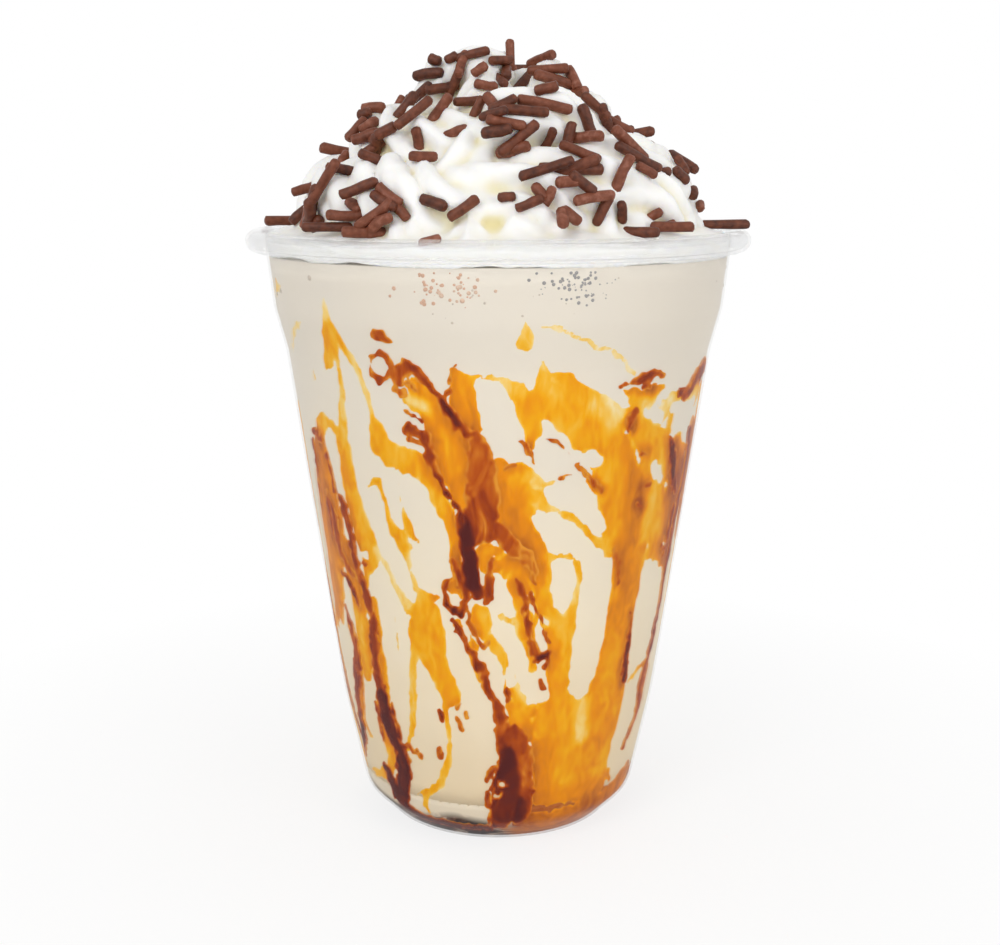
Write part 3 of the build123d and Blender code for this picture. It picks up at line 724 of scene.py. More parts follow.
def pipedRopes():
    nozzle = starProfile()
    data = bpy.data.curves.new("rope", "CURVE")
    data.dimensions = "3D"
    data.bevel_mode = "OBJECT"
    data.bevel_object = nozzle
    data.use_fill_caps = True
    line = data.splines.new("POLY")
    count = cream["ropePoints"]
    line.points.add(count - 1)
    shares, rings, levels, radii = np.array(cream["turns"]).T
    rng = np.random.default_rng(8)
    phase = rng.uniform(0, 6.3, 6)
    for i in range(count):
        share = i / (count - 1)
        turn = math.radians(cream["start"]) + 2 * math.pi * cream["wound"] * share
        ring, level, radius = (np.interp(share, shares, row) for row in (rings, levels, radii))
        arc = turn * ring
        bunch = math.sin(arc / 3.4 + phase[0]) + 0.5 * math.sin(arc / 1.9 + phase[1])
        ring += 0.7 * math.sin(turn * 3.1 + phase[2]) + 0.5 * math.sin(arc / 5 + phase[3])
        level += 0.6 * math.sin(turn * 2.3 + phase[4]) + 0.5 * math.sin(arc / 4.3 + phase[5])
        line.points[i].co = (mm * ring * math.cos(turn), mm * ring * math.sin(turn), mm * level, 1)
        line.points[i].radius = radius * (1 + cream["bunching"] * 0.5 * bunch)
        line.points[i].tilt = cream["twistPerTurn"] * turn + 0.5 * math.sin(arc / 3.4)
    for angle, footOut, tipOut, footHeight, tipHeight, footRadius, tipRadius in cream["peaks"]:
        line = data.splines.new("POLY")
        line.points.add(cream["peakPoints"] - 1)
        lean = math.radians(rng.uniform(-9, 9))
        twist = rng.uniform(0.5, 1.5) * (1 if rng.uniform() < 0.8 else -1)
        for i in range(cream["peakPoints"]):
            share = i / (cream["peakPoints"] - 1)
            turn = math.radians(angle) + lean * share ** 2
            out = footOut + (tipOut - footOut) * share
            height = footHeight + (tipHeight - footHeight) * share
            spot = (out * math.sin(turn), -out * math.cos(turn), height)
            line.points[i].co = (mm * spot[0], mm * spot[1], mm * spot[2], 1)
            line.points[i].radius = footRadius + (tipRadius - footRadius) * share ** 1.3
            line.points[i].tilt = twist * share
    piece = bpy.data.objects.new("rope", data)
    scene.collection.objects.link(piece)
    pickOnly(piece)
    bpy.ops.object.convert(target="MESH")
    bpy.data.objects.remove(nozzle)
    return bpy.context.view_layer.objects.active


def spunMound():
    points = [(r * mm, 0, z * mm) for r, z in cream["mound"]]
    piece = meshPiece("mound", points, [])
    pickOnly(piece)
    bpy.ops.object.mode_set(mode="EDIT")
    shape = bmesh.from_edit_mesh(piece.data)
    shape.verts.ensure_lookup_table()
    for a, b in zip(range(len(points) - 1), range(1, len(points))):
        shape.edges.new((shape.verts[a], shape.verts[b]))
    bmesh.update_edit_mesh(piece.data)
    bpy.ops.mesh.select_all(action="SELECT")
    bpy.ops.mesh.spin(steps=cream["spinSteps"], angle=2 * math.pi, center=(0, 0, 0), axis=(0, 0, 1))
    bpy.ops.mesh.select_all(action="SELECT")
    bpy.ops.mesh.remove_doubles(threshold=0.00001)
    bpy.ops.mesh.select_all(action="SELECT")
    bpy.ops.mesh.normals_make_consistent(inside=False)
    bpy.ops.object.mode_set(mode="OBJECT")
    return piece


def neighbourAverage(piece, values, times):
    edges = np.zeros(len(piece.data.edges) * 2, np.int64)
    piece.data.edges.foreach_get("vertices", edges)
    a, b = edges.reshape(-1, 2).T
    count = np.zeros(len(values))
    np.add.at(count, a, 1)
    np.add.at(count, b, 1)
    for _ in range(times):
        total = np.zeros_like(values)
        np.add.at(total, a, values[b])
        np.add.at(total, b, values[a])
        values = total / (count[:, None] if values.ndim > 1 else count)
    return values


def makeCream():
    rope, mound = pipedRopes(), spunMound()
    pickOnly(mound)
    rope.select_set(True)
    bpy.ops.object.join()
    piece = bpy.context.view_layer.objects.active
    piece.name = "whippedCream"
    applyModifier("REMESH", mode="VOXEL", voxel_size=cream["voxel"] * mm)
    for scale, strength in ((14, 2.2), (5, 1.0), (2.4, 0.35)):  # soft slumps, then finer unevenness
        cloud = bpy.data.textures.new("cloud", "CLOUDS")
        cloud.noise_scale = scale * mm
        applyModifier("DISPLACE", texture=cloud, texture_coords="LOCAL", strength=strength * mm)
    applyModifier("SMOOTH", iterations=1)
    co = pointsOf(piece) / mm
    out = np.hypot(co[:, 0], co[:, 1])
    limit, away = wallRadius(co[:, 2]), np.maximum(out, 1e-6)
    low = co[:, 2] < cream["lipHeight"]
    tucked = co[:, 2] < cream["tuckedBelow"]
    target = np.where(tucked, limit + contents["intoWall"], limit - cream["lipGap"])
    move = np.where(low & ((out > cream["nearWall"]) | (out > target)), target / away, 1)
    over = (co[:, 2] >= cream["lipHeight"]) & (out > cream["lipInside"])
    move = np.where(over, cream["lipInside"] / away, move)
    co[:, 0] *= move
    co[:, 1] *= move
    co[:, 2] = np.maximum(co[:, 2], cream["foot"])
    piece.data.vertices.foreach_set("co", (co * mm).ravel())
    piece.data.update()
    pickOnly(piece)
    bpy.ops.object.shade_smooth()
    # how far each point lies down in a fold: the cream's material paints shade there from it
    flat = neighbourAverage(piece, co, 14)
    normals = np.zeros(len(co) * 3)
    piece.data.vertices.foreach_get("normal", normals)
    hollow = np.clip(((flat - co) * normals.reshape(-1, 3)).sum(1), -0.5, 1.5)
    giveAttribute(piece, "hollow", neighbourAverage(piece, hollow, 2))
    print("whippedCream", len(piece.data.polygons), "faces")
    return piece


whipped = makeCream()


# chocolate sprinkles
# The front's rods, as seen from the eye: across from the axis and height in the plane of the axis in mm,
# slant, length mm, and for a bent rod its bend.
sprinkles = {
    "radius": 0.98, "lipFrom": 43.5, "lipTop": 118.0, "stretch": 1.12, "sides": 9, "backCount": 120,
    "front": [
        (-16.8, 149.2, 88, 5.2), (-17.0, 145.2, 72, 5.5), (-13.1, 147.0, 0, 5.6), (-11.4, 144.6, 5, 6.0),
        (-13.3, 150.7, -40, 2.4), (-9.6, 151.3, 20, 2.4), (-4.8, 150.2, 8, 6.0), (-6.4, 148.3, -75, 5.5),
        (-7.5, 144.4, 52, 7.5), (-11.4, 139.5, 45, 7.5), (-18.0, 140.0, 50, 7.5), (-15.9, 138.9, 50, 7.5),
        (-14.9, 135.4, 80, 3.8), (-8.0, 135.9, 2, 4.6), (-14.6, 131.0, 60, 4.6), (-23.9, 140.3, -5, 4.2),
        (-25.4, 141.0, 40, 2.6), (-27.0, 136.5, 88, 5.0), (-25.0, 136.8, 60, 4.0), (-25.4, 134.6, 10, 5.0),
        (-23.0, 135.0, -10, 6.0), (-21.5, 136.2, 20, 4.0), (-23.5, 132.6, 45, 6.0), (-22.0, 133.4, 30, 5.0),
        (-24.6, 130.8, 25, 5.0), (-30.2, 131.2, 50, 3.0), (-32.0, 128.9, -20, 2.6), (-30.0, 128.2, 30, 5.0),
        (-33.0, 126.4, 42, 8.5), (-35.6, 122.6, 36, 8.5), (-36.8, 120.0, 78, 4.4), (-36.9, 124.8, 88, 5.2),
        (-38.6, 120.2, 45, 4.0), (-26.9, 125.3, 18, 6.5), (-27.3, 122.3, -12, 3.6), (-29.3, 119.9, 0, 6.6),
        (-23.8, 120.6, 35, 7.5), (-22.3, 122.5, -40, 5.0), (-20.7, 124.4, -30, 5.0),
        (-18.0, 122.3, -5, 4.2), (-12.2, 123.1, 5, 4.8), (-6.7, 121.9, 35, 5.6), (-33.5, 115.9, -3, 8.0),
        (-26.1, 115.9, 12, 7.0), (-13.3, 114.8, 80, 3.6), (-34.7, 118.4, 30, 3.2), (1.7, 150.5, 85, 5.4),
        (0.0, 149.2, 15, 5.0), (8.1, 150.1, -28, 6.2), (13.3, 148.6, 75, 3.8), (9.7, 147.5, 5, 7.0),
        (10.0, 145.6, 3, 7.6), (13.5, 145.6, 60, 5.0), (9.3, 144.0, 10, 4.0), (4.2, 144.8, 52, 8.4),
        (8.9, 141.4, -8, 9.2), (5.0, 139.5, -8, 8.0), (1.5, 137.6, -10, 6.5), (3.4, 135.6, 32, 8.0),
        (4.2, 132.5, -18, 4.2), (9.7, 135.2, 70, 4.6), (-0.1, 145.8, 15, 5.0), (-2.5, 144.4, 0, 4.0),
        (-6.0, 141.4, 20, 5.0), (-3.6, 140.7, 60, 4.0), (-0.9, 141.6, -50, 4.0), (1.0, 140.3, 30, 5.0),
        (-0.4, 138.4, -10, 5.0), (0.2, 136.6, 10, 5.0), (1.4, 133.9, 30, 3.4), (-3.0, 147.2, 40, 3.0),
        (0.4, 147.4, 12, 4.6), (15.9, 142.9, -50, 4.0), (18.6, 141.0, -40, 6.0), (17.0, 138.0, -70, 6.0),
        (20.1, 138.6, -45, 6.0), (22.1, 137.0, -45, 6.6), (26.1, 137.6, -48, 7.6), (13.1, 135.4, 75, 5.0),
        (17.0, 134.4, -25, 6.6), (15.9, 132.3, -20, 7.0), (25.2, 133.7, -8, 8.6), (26.7, 131.2, -16, 9.6),
        (9.3, 128.9, 33, 9.2), (13.9, 128.2, 26, 10.5), (15.6, 129.8, 22, 7.0), (23.2, 128.2, 68, 7.4),
        (28.3, 128.4, -10, 3.8), (35.5, 130.3, 8, 4.0), (35.1, 127.6, 0, 3.6), (32.2, 128.6, 10, 2.0),
        (39.1, 127.1, 30, 2.6), (39.1, 124.6, -60, 2.6), (39.2, 122.6, 60, 2.2), (1.9, 123.5, 0, 2.8),
        (6.2, 122.5, 20, 4.6), (7.5, 123.8, 80, 3.2), (10.4, 124.0, 55, 4.2), (13.1, 126.3, 10, 4.0),
        (15.9, 125.7, -30, 5.0), (18.2, 123.8, 10, 7.0), (20.1, 121.6, 65, 5.2), (23.6, 121.2, -60, 4.0),
        (30.2, 120.4, 30, 3.2), (32.5, 118.5, 20, 3.6), (27.9, 116.5, -62, 6.2), (34.1, 116.5, 26, 7.0),
        (-43.6, 117.4, -10, 6.6), (43.2, 118.6, -3, 8.6),
    ],
    "bent": [(10.6, 120.6, 33, 9.0, -84), (-35.0, 121.0, 40, 6.0, 35), (-23.0, 119.6, 38, 6.5, -30)],
    "backClusters": [(0, 0, 14), (20, 16, 9), (-22, 14, 9), (4, 30, 9), (28, -6, 7), (-30, -4, 8),
                     (-10, 34, 7)],
    "sitsUp": 0.55, "stackStep": 0.30, "stackMost": 2.6,  # share of its radius, mm for each rod under it
    "dropFrom": 170, "backWithin": 41, "frontDepth": 4, "frontHalf": 30,  # where the back's may fall
}


# one extruded rod with rough rounded ends, bent at its middle
def sprinklePoints(length, radius, bend, rng):
    sides = sprinkles["sides"]
    # share of its length and of its radius; the other half is the same, turned round
    runs = [(-0.5, 0.45), (-0.46, 0.86), (-0.38, 1.0), (-0.13, 1.0)]
    runs += [(-share, width) for share, width in reversed(runs)]
    points, faces = [], []
    waist = rng.uniform(0.94, 1.06, len(runs))
    wobble = rng.uniform(-0.08, 0.08, (len(runs), 2))
    for k, (share, width) in enumerate(runs):
        if abs(share) < 0.3:
            x = share * length
        else:  # the rounded end keeps its shape on a rod of any length
            x = math.copysign(length / 2 - radius * (0.5 - abs(share)) * 6, share)
        turn = bend / 2 * (1 if x > 0 else -1)
        centre = Vector((x * math.cos(turn), abs(x) * math.sin(abs(turn)) * (1 if bend > 0 else -1), 0))
        centre += Vector((0, wobble[k, 0], wobble[k, 1])) * radius
        side = Vector((-math.sin(turn), math.cos(turn), 0)) if abs(share) > 0.2 else Vector((0, 1, 0))
        for s in range(sides):
            angle = 2 * math.pi * s / sides
            out = side * math.cos(angle) + Vector((0, 0, 1)) * math.sin(angle)
            points.append(centre + out * radius * width * waist[k])
    for k in range(len(runs) - 1):
        for s in range(sides):
            a, b = k * sides + s, k * sides + (s + 1) % sides
            faces.append((a, a + sides, b + sides, b))
    faces.append(tuple(range(sides)))
    faces.append(tuple(reversed(range((len(runs) - 1) * sides, len(runs) * sides))))
    return points, faces


eye = Vector((0.0, -296.4, 130.6)) * mm  # where the camera stands


def makeSprinkles():
    rng = np.random.default_rng(19)
    tree = BVHTree.FromPolygons([v.co.copy() for v in whipped.data.vertices],
                                [tuple(p.vertices) for p in whipped.data.polygons])
    points, faces, tints = [], [], []

    def addRod(spot, normal, along, length, bend):
        radius = sprinkles["radius"] * rng.uniform(0.88, 1.1)
        side = normal.cross(along).normalized()
        turned = Matrix((along, side, normal)).transposed()
        rodPoints, rodFaces = sprinklePoints(length, radius, bend, rng)
        start, tint = len(points), rng.uniform(0, 1)
        for p in rodPoints:
            points.append(spot + turned @ (p * mm))
            tints.append(tint)
        faces.extend([tuple(start + f for f in face) for face in rodFaces])

    taken = []

    def place(spot, normal, along, length, bend):
        lift = sprinkles["radius"] * sprinkles["sitsUp"]
        for other, reach in taken:  # a rod that lands on others lies on top of them
            if (spot - other).length < 0.55 * (reach + length * mm) * 0.8:
                lift += sprinkles["stackStep"]
        lift = min(lift, sprinkles["stackMost"])
        taken.append((spot.copy(), length * mm))
        tilt = rng.uniform(-0.22, 0.22)
        away = Vector((spot.x, spot.y, 0))
        reachOut = away.length / mm + length / 2 * abs(along.dot(away.normalized()))
        level = Vector((along.x, along.y, 0))
        nearLip = reachOut > sprinkles["lipFrom"] and spot.z / mm < sprinkles["lipTop"] + 1.5
        if nearLip and level.length > 0.3:  # it lies flat on the lip
            normal, along, tilt = Vector((0, 0, 1)), level.normalized(), 0
            spot = Vector((spot.x, spot.y, (sprinkles["lipTop"] + 0.5 * sprinkles["radius"]) * mm))
        flat = (along - normal * along.dot(normal)).normalized()
        lean = (flat + normal * tilt).normalized()
        up = (normal - lean * normal.dot(lean)).normalized()
        addRod(spot + normal * lift * mm, up, lean, length, bend)

    for entry in sprinkles["front"] + sprinkles["bent"]:
        x, z, slant, length = entry[:4]
        length *= sprinkles["stretch"]
        bend = math.radians(entry[4]) if len(entry) > 4 else math.radians(rng.uniform(-9, 9))
        aim = Vector((x, 0, z)) * mm
        ray = (aim - eye).normalized()
        hit, normal, _, _ = tree.ray_cast(eye, ray)
        slant = math.radians(slant)
        along = Vector((math.cos(slant), 0, math.sin(slant)))
        if hit is None:  # beyond the cream's outline it rests on the nearest cream, to the front or back
            hit, normal, _, _ = tree.find_nearest(aim + Vector((0, rng.uniform(-11, 11), 0)) * mm)
            along.y = rng.uniform(-0.9, 0.9)
        place(hit, normal.normalized(), along, length, bend)
    for _ in range(sprinkles["backCount"]):
        x, y, spread = sprinkles["backClusters"][rng.integers(len(sprinkles["backClusters"]))]
        spot = Vector((rng.normal(x, spread * 0.6), rng.normal(y, spread * 0.6), sprinkles["dropFrom"])) * mm
        atFront = spot.y < sprinkles["frontDepth"] * mm and abs(spot.x) < sprinkles["frontHalf"] * mm
        if math.hypot(spot.x, spot.y) > sprinkles["backWithin"] * mm or atFront:
            continue
        hit, normal, _, _ = tree.ray_cast(spot, Vector((0, 0, -1)))
        if hit is None or hit.y < -2 * mm:
            continue
        turn = rng.uniform(0, math.pi)
        along = Vector((math.cos(turn), math.sin(turn), rng.uniform(-0.3, 0.3)))
        place(hit, normal.normalized(), along, rng.uniform(3.5, 10.0), math.radians(rng.uniform(-14, 14)))
    piece = meshPiece("chocolateSprinkles", points, faces)
    giveAttribute(piece, "tint", tints)
    turnFacesOut(piece)
    bpy.ops.object.shade_smooth_by_angle(angle=math.radians(50))
    print("chocolateSprinkles", len(piece.data.polygons), "faces")
    return piece


sprinklePiece = makeSprinkles()


# bubbles held against the wall near the drink's top
bubbles = {
    "sides": 12, "stands": 0.06, "highest": 112.3,
    "dome": [(0.001, 0.20), (0.55, 0.17), (0.9, 0.10), (1.0, 0.0), (0.7, -0.3)],  # share of radius, mm
    # middle angle, middle height, spread across and down in mm, how many, tint, radii
    "groups": [
        (-14, 110.3, 5.5, 2.4, 40, 0.9, (0.14, 0.42)), (-7, 109.4, 4.5, 2.0, 16, 0.8, (0.16, 0.46)),
        (17, 110.4, 5.0, 2.3, 56, 0.1, (0.12, 0.36)), (22, 109.0, 3.5, 2.2, 18, 0.15, (0.12, 0.34)),
        (0, 107, 22, 5, 16, 0.5, (0.12, 0.28)), (180, 109, 70, 3.5, 60, 0.5, (0.2, 0.55)),
    ],
}


def makeBubbles():
    rng = np.random.default_rng(5)
    points, faces, tints = [], [], []
    for angle, height, across, down, count, tint, sizes in bubbles["groups"]:
        for _ in range(count):
            z = min(rng.normal(height, down * 0.6), bubbles["highest"])
            radius = rng.uniform(*sizes)
            wall = float(wallRadius(z))
            turn = math.radians(angle) + rng.normal(0, across * 0.6) / wall
            out = Vector((math.sin(turn), -math.cos(turn), 0))
            side = Vector((math.cos(turn), math.sin(turn), 0))
            centre = out * (wall + bubbles["stands"]) + Vector((0, 0, z))
            start, sides = len(points), bubbles["sides"]
            for share, rise in bubbles["dome"]:
                for s in range(sides):
                    a = 2 * math.pi * s / sides
                    flat = (side * math.cos(a) + Vector((0, 0, 1)) * math.sin(a)) * radius * share
                    points.append((centre + flat + out * rise * min(radius / 0.5, 1)) * mm)
                    tints.append(tint + rng.uniform(-0.08, 0.08))
            for k in range(4):
                for s in range(sides):
                    a, b = start + k * sides + s, start + k * sides + (s + 1) % sides
                    faces.append((a, b, b + sides, a + sides))
            faces.append(tuple(start + 4 * sides + s for s in range(sides)))
    piece = meshPiece("bubbles", points, faces)
    giveAttribute(piece, "tint", tints)
    turnFacesOut(piece, mergeWithin=0.000003)
    bpy.ops.object.shade_smooth_by_angle(angle=math.radians(60))
    print("bubbles", len(piece.data.polygons), "faces")
    return piece


bubblePiece = makeBubbles()


# materials
def petMaterial():
    # PET sheet, thermoformed and glossy: clear, with bright lines where the lip curls
    material, tree = newMaterial("thermoformedPET")
    place = addNode(tree, "TexCoord")
    waves = addNode(tree, "TexNoise", {"Scale": 60.0, "Detail": 2.0}, {"Vector": place.outputs["Object"]})
    bump = addNode(tree, "Bump", {"Strength": 0.05, "Distance": 0.0004}, {"Height": waves.outputs["Fac"]})
    shader = addNode(tree, "BsdfPrincipled", {"Base Color": srgb("#fbfcfc"), "Roughness": 0.04, "IOR": 1.45,
                                              "Transmission Weight": 1.0},
                     {"Normal": bump.outputs["Normal"]})
    clear = addNode(tree, "BsdfTransparent", {"Color": srgb("#fafafa")})
    path = addNode(tree, "LightPath")
    share = addNode(tree, "Math", {"operation": "MULTIPLY_ADD", 1: 0.25, 2: 0.75},
                    {0: path.outputs["Is Shadow Ray"]})
    mix = addNode(tree, "MixShader", {},
                  {0: share.outputs["Value"], 1: shader.outputs["BSDF"], 2: clear.outputs["BSDF"]})
    addNode(tree, "OutputMaterial", {}, {"Surface": mix.outputs["Shader"]})
    return material


def drinkMaterial():
    # blended milk and ice cream: smooth, warm off-white, a little warmer low down where sauce has mixed in
    material, tree = newMaterial("blendedMilkshake")
    place = addNode(tree, "TexCoord")
    parts = addNode(tree, "SeparateXYZ", {}, {"Vector": place.outputs["Object"]})
    level = addNode(tree, "MapRange", {"From Min": 0.01, "From Max": 0.112}, {"Value": parts.outputs["Z"]})
    cloud = addNode(tree, "TexNoise", {"Scale": 55.0, "Detail": 3.0}, {"Vector": place.outputs["Object"]})
    shift = addNode(tree, "Math", {"operation": "MULTIPLY_ADD", 1: 0.35, 2: -0.175},
                    {0: cloud.outputs["Fac"]})
    total = addNode(tree, "Math", {"operation": "ADD"},
                    {0: level.outputs["Result"], 1: shift.outputs["Value"]})
    ramp = addNode(tree, "ValToRGB", {"stops": [(0.0, "#e9d6b4"), (0.35, "#f2e5cc"), (0.7, "#e9e0d0"),
                                                (1.0, "#e6ded1")]},
                   {"Fac": total.outputs["Value"]})
    shader = addNode(tree, "BsdfPrincipled", {"Roughness": 0.45, "IOR": 1.36, "Specular IOR Level": 0.15},
                     {"Base Color": ramp.outputs["Color"]})
    addNode(tree, "OutputMaterial", {}, {"Surface": shader.outputs["BSDF"]})
    return material


def settledMaterial():
    # sauce sunk to the foot: rust brown to the right; to the left milk over a dark, streaky rim of cocoa
    material, tree = newMaterial("settledSauceMix")
    place = addNode(tree, "TexCoord")
    parts = addNode(tree, "SeparateXYZ", {}, {"Vector": place.outputs["Object"]})
    spread = addNode(tree, "Mapping", {"Scale": (1.0, 1.0, 2.5)}, {"Vector": place.outputs["Object"]})
    bands = addNode(tree, "TexNoise", {"Scale": 120.0, "Detail": 4.0, "Distortion": 1.6},
                    {"Vector": spread.outputs["Vector"]})
    slow = addNode(tree, "TexNoise", {"Scale": 40.0, "Detail": 2.0}, {"Vector": place.outputs["Object"]})
    streaks = addNode(tree, "ValToRGB", {"stops": [(0.34, "#1c100c"), (0.48, "#3c211a"), (0.55, "#765244"),
                                                   (0.60, "#cbb9a6"), (0.72, "#5c3c30")]},
                      {"Fac": bands.outputs["Fac"]})
    lift = addNode(tree, "Math", {"operation": "MULTIPLY_ADD", 1: 0.012},
                   {0: slow.outputs["Fac"], 2: parts.outputs["Z"]})
    milky = addNode(tree, "MapRange", {"From Min": 0.0100, "From Max": 0.0118},
                    {"Value": lift.outputs["Value"]})
    left = addNode(tree, "Mix", {"data_type": "RGBA", 7: srgb("#e6d9c2")},
                   {0: milky.outputs["Result"], 6: streaks.outputs["Color"]})
    right = addNode(tree, "ValToRGB", {"stops": [(0.30, "#964a22"), (0.50, "#b5652e"), (0.68, "#cc7c34")]},
                    {"Fac": bands.outputs["Fac"]})
    wander = addNode(tree, "Math", {"operation": "MULTIPLY_ADD", 1: 0.006},
                     {0: bands.outputs["Fac"], 2: parts.outputs["X"]})
    side = addNode(tree, "MapRange", {"From Min": 0.004, "From Max": 0.007},
                   {"Value": wander.outputs["Value"]})
    mix = addNode(tree, "Mix", {"data_type": "RGBA"},
                  {0: side.outputs["Result"], 6: left.outputs[2], 7: right.outputs["Color"]})
    shader = addNode(tree, "BsdfPrincipled", {"Roughness": 0.35, "IOR": 1.4, "Specular IOR Level": 0.1},
                     {"Base Color": mix.outputs[2]})
    addNode(tree, "OutputMaterial", {}, {"Surface": shader.outputs["BSDF"]})
    return material


def caramelMaterial():
    # caramel sauce drizzled cold: pale and clear at its edges, golden amber, orange where it lies thick
    material, tree = newMaterial("drizzledCaramel")
    place = addNode(tree, "TexCoord")
    depth = addNode(tree, "Attribute", {"attribute_name": "depth"})
    tone = addNode(tree, "Attribute", {"attribute_name": "tone"})
    stretch = addNode(tree, "Mapping", {"Scale": (1.0, 1.0, 0.45)}, {"Vector": place.outputs["Object"]})
    cloud = addNode(tree, "TexNoise", {"Scale": 130.0, "Detail": 3.0, "Distortion": 0.6},
                    {"Vector": stretch.outputs["Vector"]})
    fine = addNode(tree, "TexNoise", {"Scale": 520.0, "Detail": 3.0, "Distortion": 0.8},
                   {"Vector": stretch.outputs["Vector"]})
    edge = addNode(tree, "MapRange", {"From Min": 0.0, "From Max": 0.8, "To Min": 0.25, "To Max": 1.0},
                   {"Value": depth.outputs["Fac"]})
    body = addNode(tree, "Math", {"operation": "MULTIPLY"},
                   {0: tone.outputs["Fac"], 1: edge.outputs["Result"]})
    soft = addNode(tree, "Math", {"operation": "MULTIPLY_ADD", 1: 0.6, 2: -0.29}, {0: cloud.outputs["Fac"]})
    grain = addNode(tree, "Math", {"operation": "MULTIPLY_ADD", 1: 0.5, 2: -0.25}, {0: fine.outputs["Fac"]})
    uneven = addNode(tree, "Math", {"operation": "ADD"},
                     {0: soft.outputs["Value"], 1: grain.outputs["Value"]})
    total = addNode(tree, "Math", {"operation": "ADD", "use_clamp": True},
                    {0: body.outputs["Value"], 1: uneven.outputs["Value"]})
    ramp = addNode(tree, "ValToRGB", {"stops": [(0.0, "#f3e2b4"), (0.16, "#f4d27c"), (0.32, "#f4bb38"),
                                                (0.45, "#f2ab0c"), (0.60, "#ea9008"), (0.78, "#d07818"),
                                                (1.0, "#a04c1c")]},
                   {"Fac": total.outputs["Value"]})
    bump = addNode(tree, "Bump", {"Strength": 0.2, "Distance": 0.0002}, {"Height": cloud.outputs["Fac"]})
    shader = addNode(tree, "BsdfPrincipled", {"Roughness": 0.4, "IOR": 1.42, "Specular IOR Level": 0.1},
                     {"Base Color": ramp.outputs["Color"], "Normal": bump.outputs["Normal"]})
    addNode(tree, "OutputMaterial", {}, {"Surface": shader.outputs["BSDF"]})
    return material


def chocolateMaterial():
    # chocolate sauce: rust brown where it thins into the caramel, nearly plum brown where thick
    material, tree = newMaterial("drizzledChocolateSauce")
    place = addNode(tree, "TexCoord")
    depth = addNode(tree, "Attribute", {"attribute_name": "depth"})
    tone = addNode(tree, "Attribute", {"attribute_name": "tone"})
    stretch = addNode(tree, "Mapping", {"Scale": (1.0, 1.0, 0.5)}, {"Vector": place.outputs["Object"]})
    cloud = addNode(tree, "TexNoise", {"Scale": 300.0, "Detail": 4.0, "Distortion": 1.0},
                    {"Vector": stretch.outputs["Vector"]})
    edge = addNode(tree, "MapRange", {"From Min": 0.0, "From Max": 0.7, "To Min": 0.2, "To Max": 1.0},
                   {"Value": depth.outputs["Fac"]})
    body = addNode(tree, "Math", {"operation": "MULTIPLY"},
                   {0: tone.outputs["Fac"], 1: edge.outputs["Result"]})
    uneven = addNode(tree, "Math", {"operation": "MULTIPLY_ADD", 1: 1.5, 2: -0.76},
                     {0: cloud.outputs["Fac"]})
    total = addNode(tree, "Math", {"operation": "ADD", "use_clamp": True},
                    {0: body.outputs["Value"], 1: uneven.outputs["Value"]})
    ramp = addNode(tree, "ValToRGB", {"stops": [(0.0, "#e0962c"), (0.14, "#cc7018"), (0.30, "#b8520c"),
                                                (0.50, "#96380e"), (0.75, "#6e2414"), (1.0, "#541a18")]},
                   {"Fac": total.outputs["Value"]})
    shader = addNode(tree, "BsdfPrincipled", {"Roughness": 0.4, "IOR": 1.45, "Specular IOR Level": 0.1},
                     {"Base Color": ramp.outputs["Color"]})
    addNode(tree, "OutputMaterial", {}, {"Surface": shader.outputs["BSDF"]})
    return material


def creamMaterial():
    # whipped dairy cream: bright and soft, with painted shade that makes it slightly yellow and darker down
    # in its folds
    material, tree = newMaterial("whippedDairyCream")
    place = addNode(tree, "TexCoord")
    hollow = addNode(tree, "Attribute", {"attribute_name": "hollow"})
    cloud = addNode(tree, "TexNoise", {"Scale": 90.0, "Detail": 3.0}, {"Vector": place.outputs["Object"]})
    uneven = addNode(tree, "Math", {"operation": "MULTIPLY_ADD", 1: 0.3, 2: -0.15},
                     {0: cloud.outputs["Fac"]})
    total = addNode(tree, "Math", {"operation": "ADD"},
                    {0: hollow.outputs["Fac"], 1: uneven.outputs["Value"]})
    # painted shade: the deeper the fold, the darker and yellower the cream
    foldShade = addNode(tree, "MapRange", {"From Min": -0.1, "From Max": 0.9}, {"Value": total.outputs["Value"]})
    ramp = addNode(tree, "ValToRGB", {"stops": [(0.0, "#fbfaf6"), (0.30, "#f8f5ec"), (0.6, "#f1eacb"),
                                                (1.0, "#e6d99c")]},
                   {"Fac": foldShade.outputs["Result"]})
    grain = addNode(tree, "TexNoise", {"Scale": 700.0, "Detail": 2.0}, {"Vector": place.outputs["Object"]})
    bump = addNode(tree, "Bump", {"Strength": 0.12, "Distance": 0.0002}, {"Height": grain.outputs["Fac"]})
    shader = addNode(tree, "BsdfPrincipled", {"Roughness": 0.5, "IOR": 1.36, "Specular IOR Level": 0.3,
                                              "Subsurface Weight": 0.35, "Subsurface Scale": 0.003,
                                              "Subsurface Radius": (1.0, 0.85, 0.6)},
                     {"Base Color": ramp.outputs["Color"], "Normal": bump.outputs["Normal"]})
    addNode(tree, "OutputMaterial", {}, {"Surface": shader.outputs["BSDF"]})
    return material


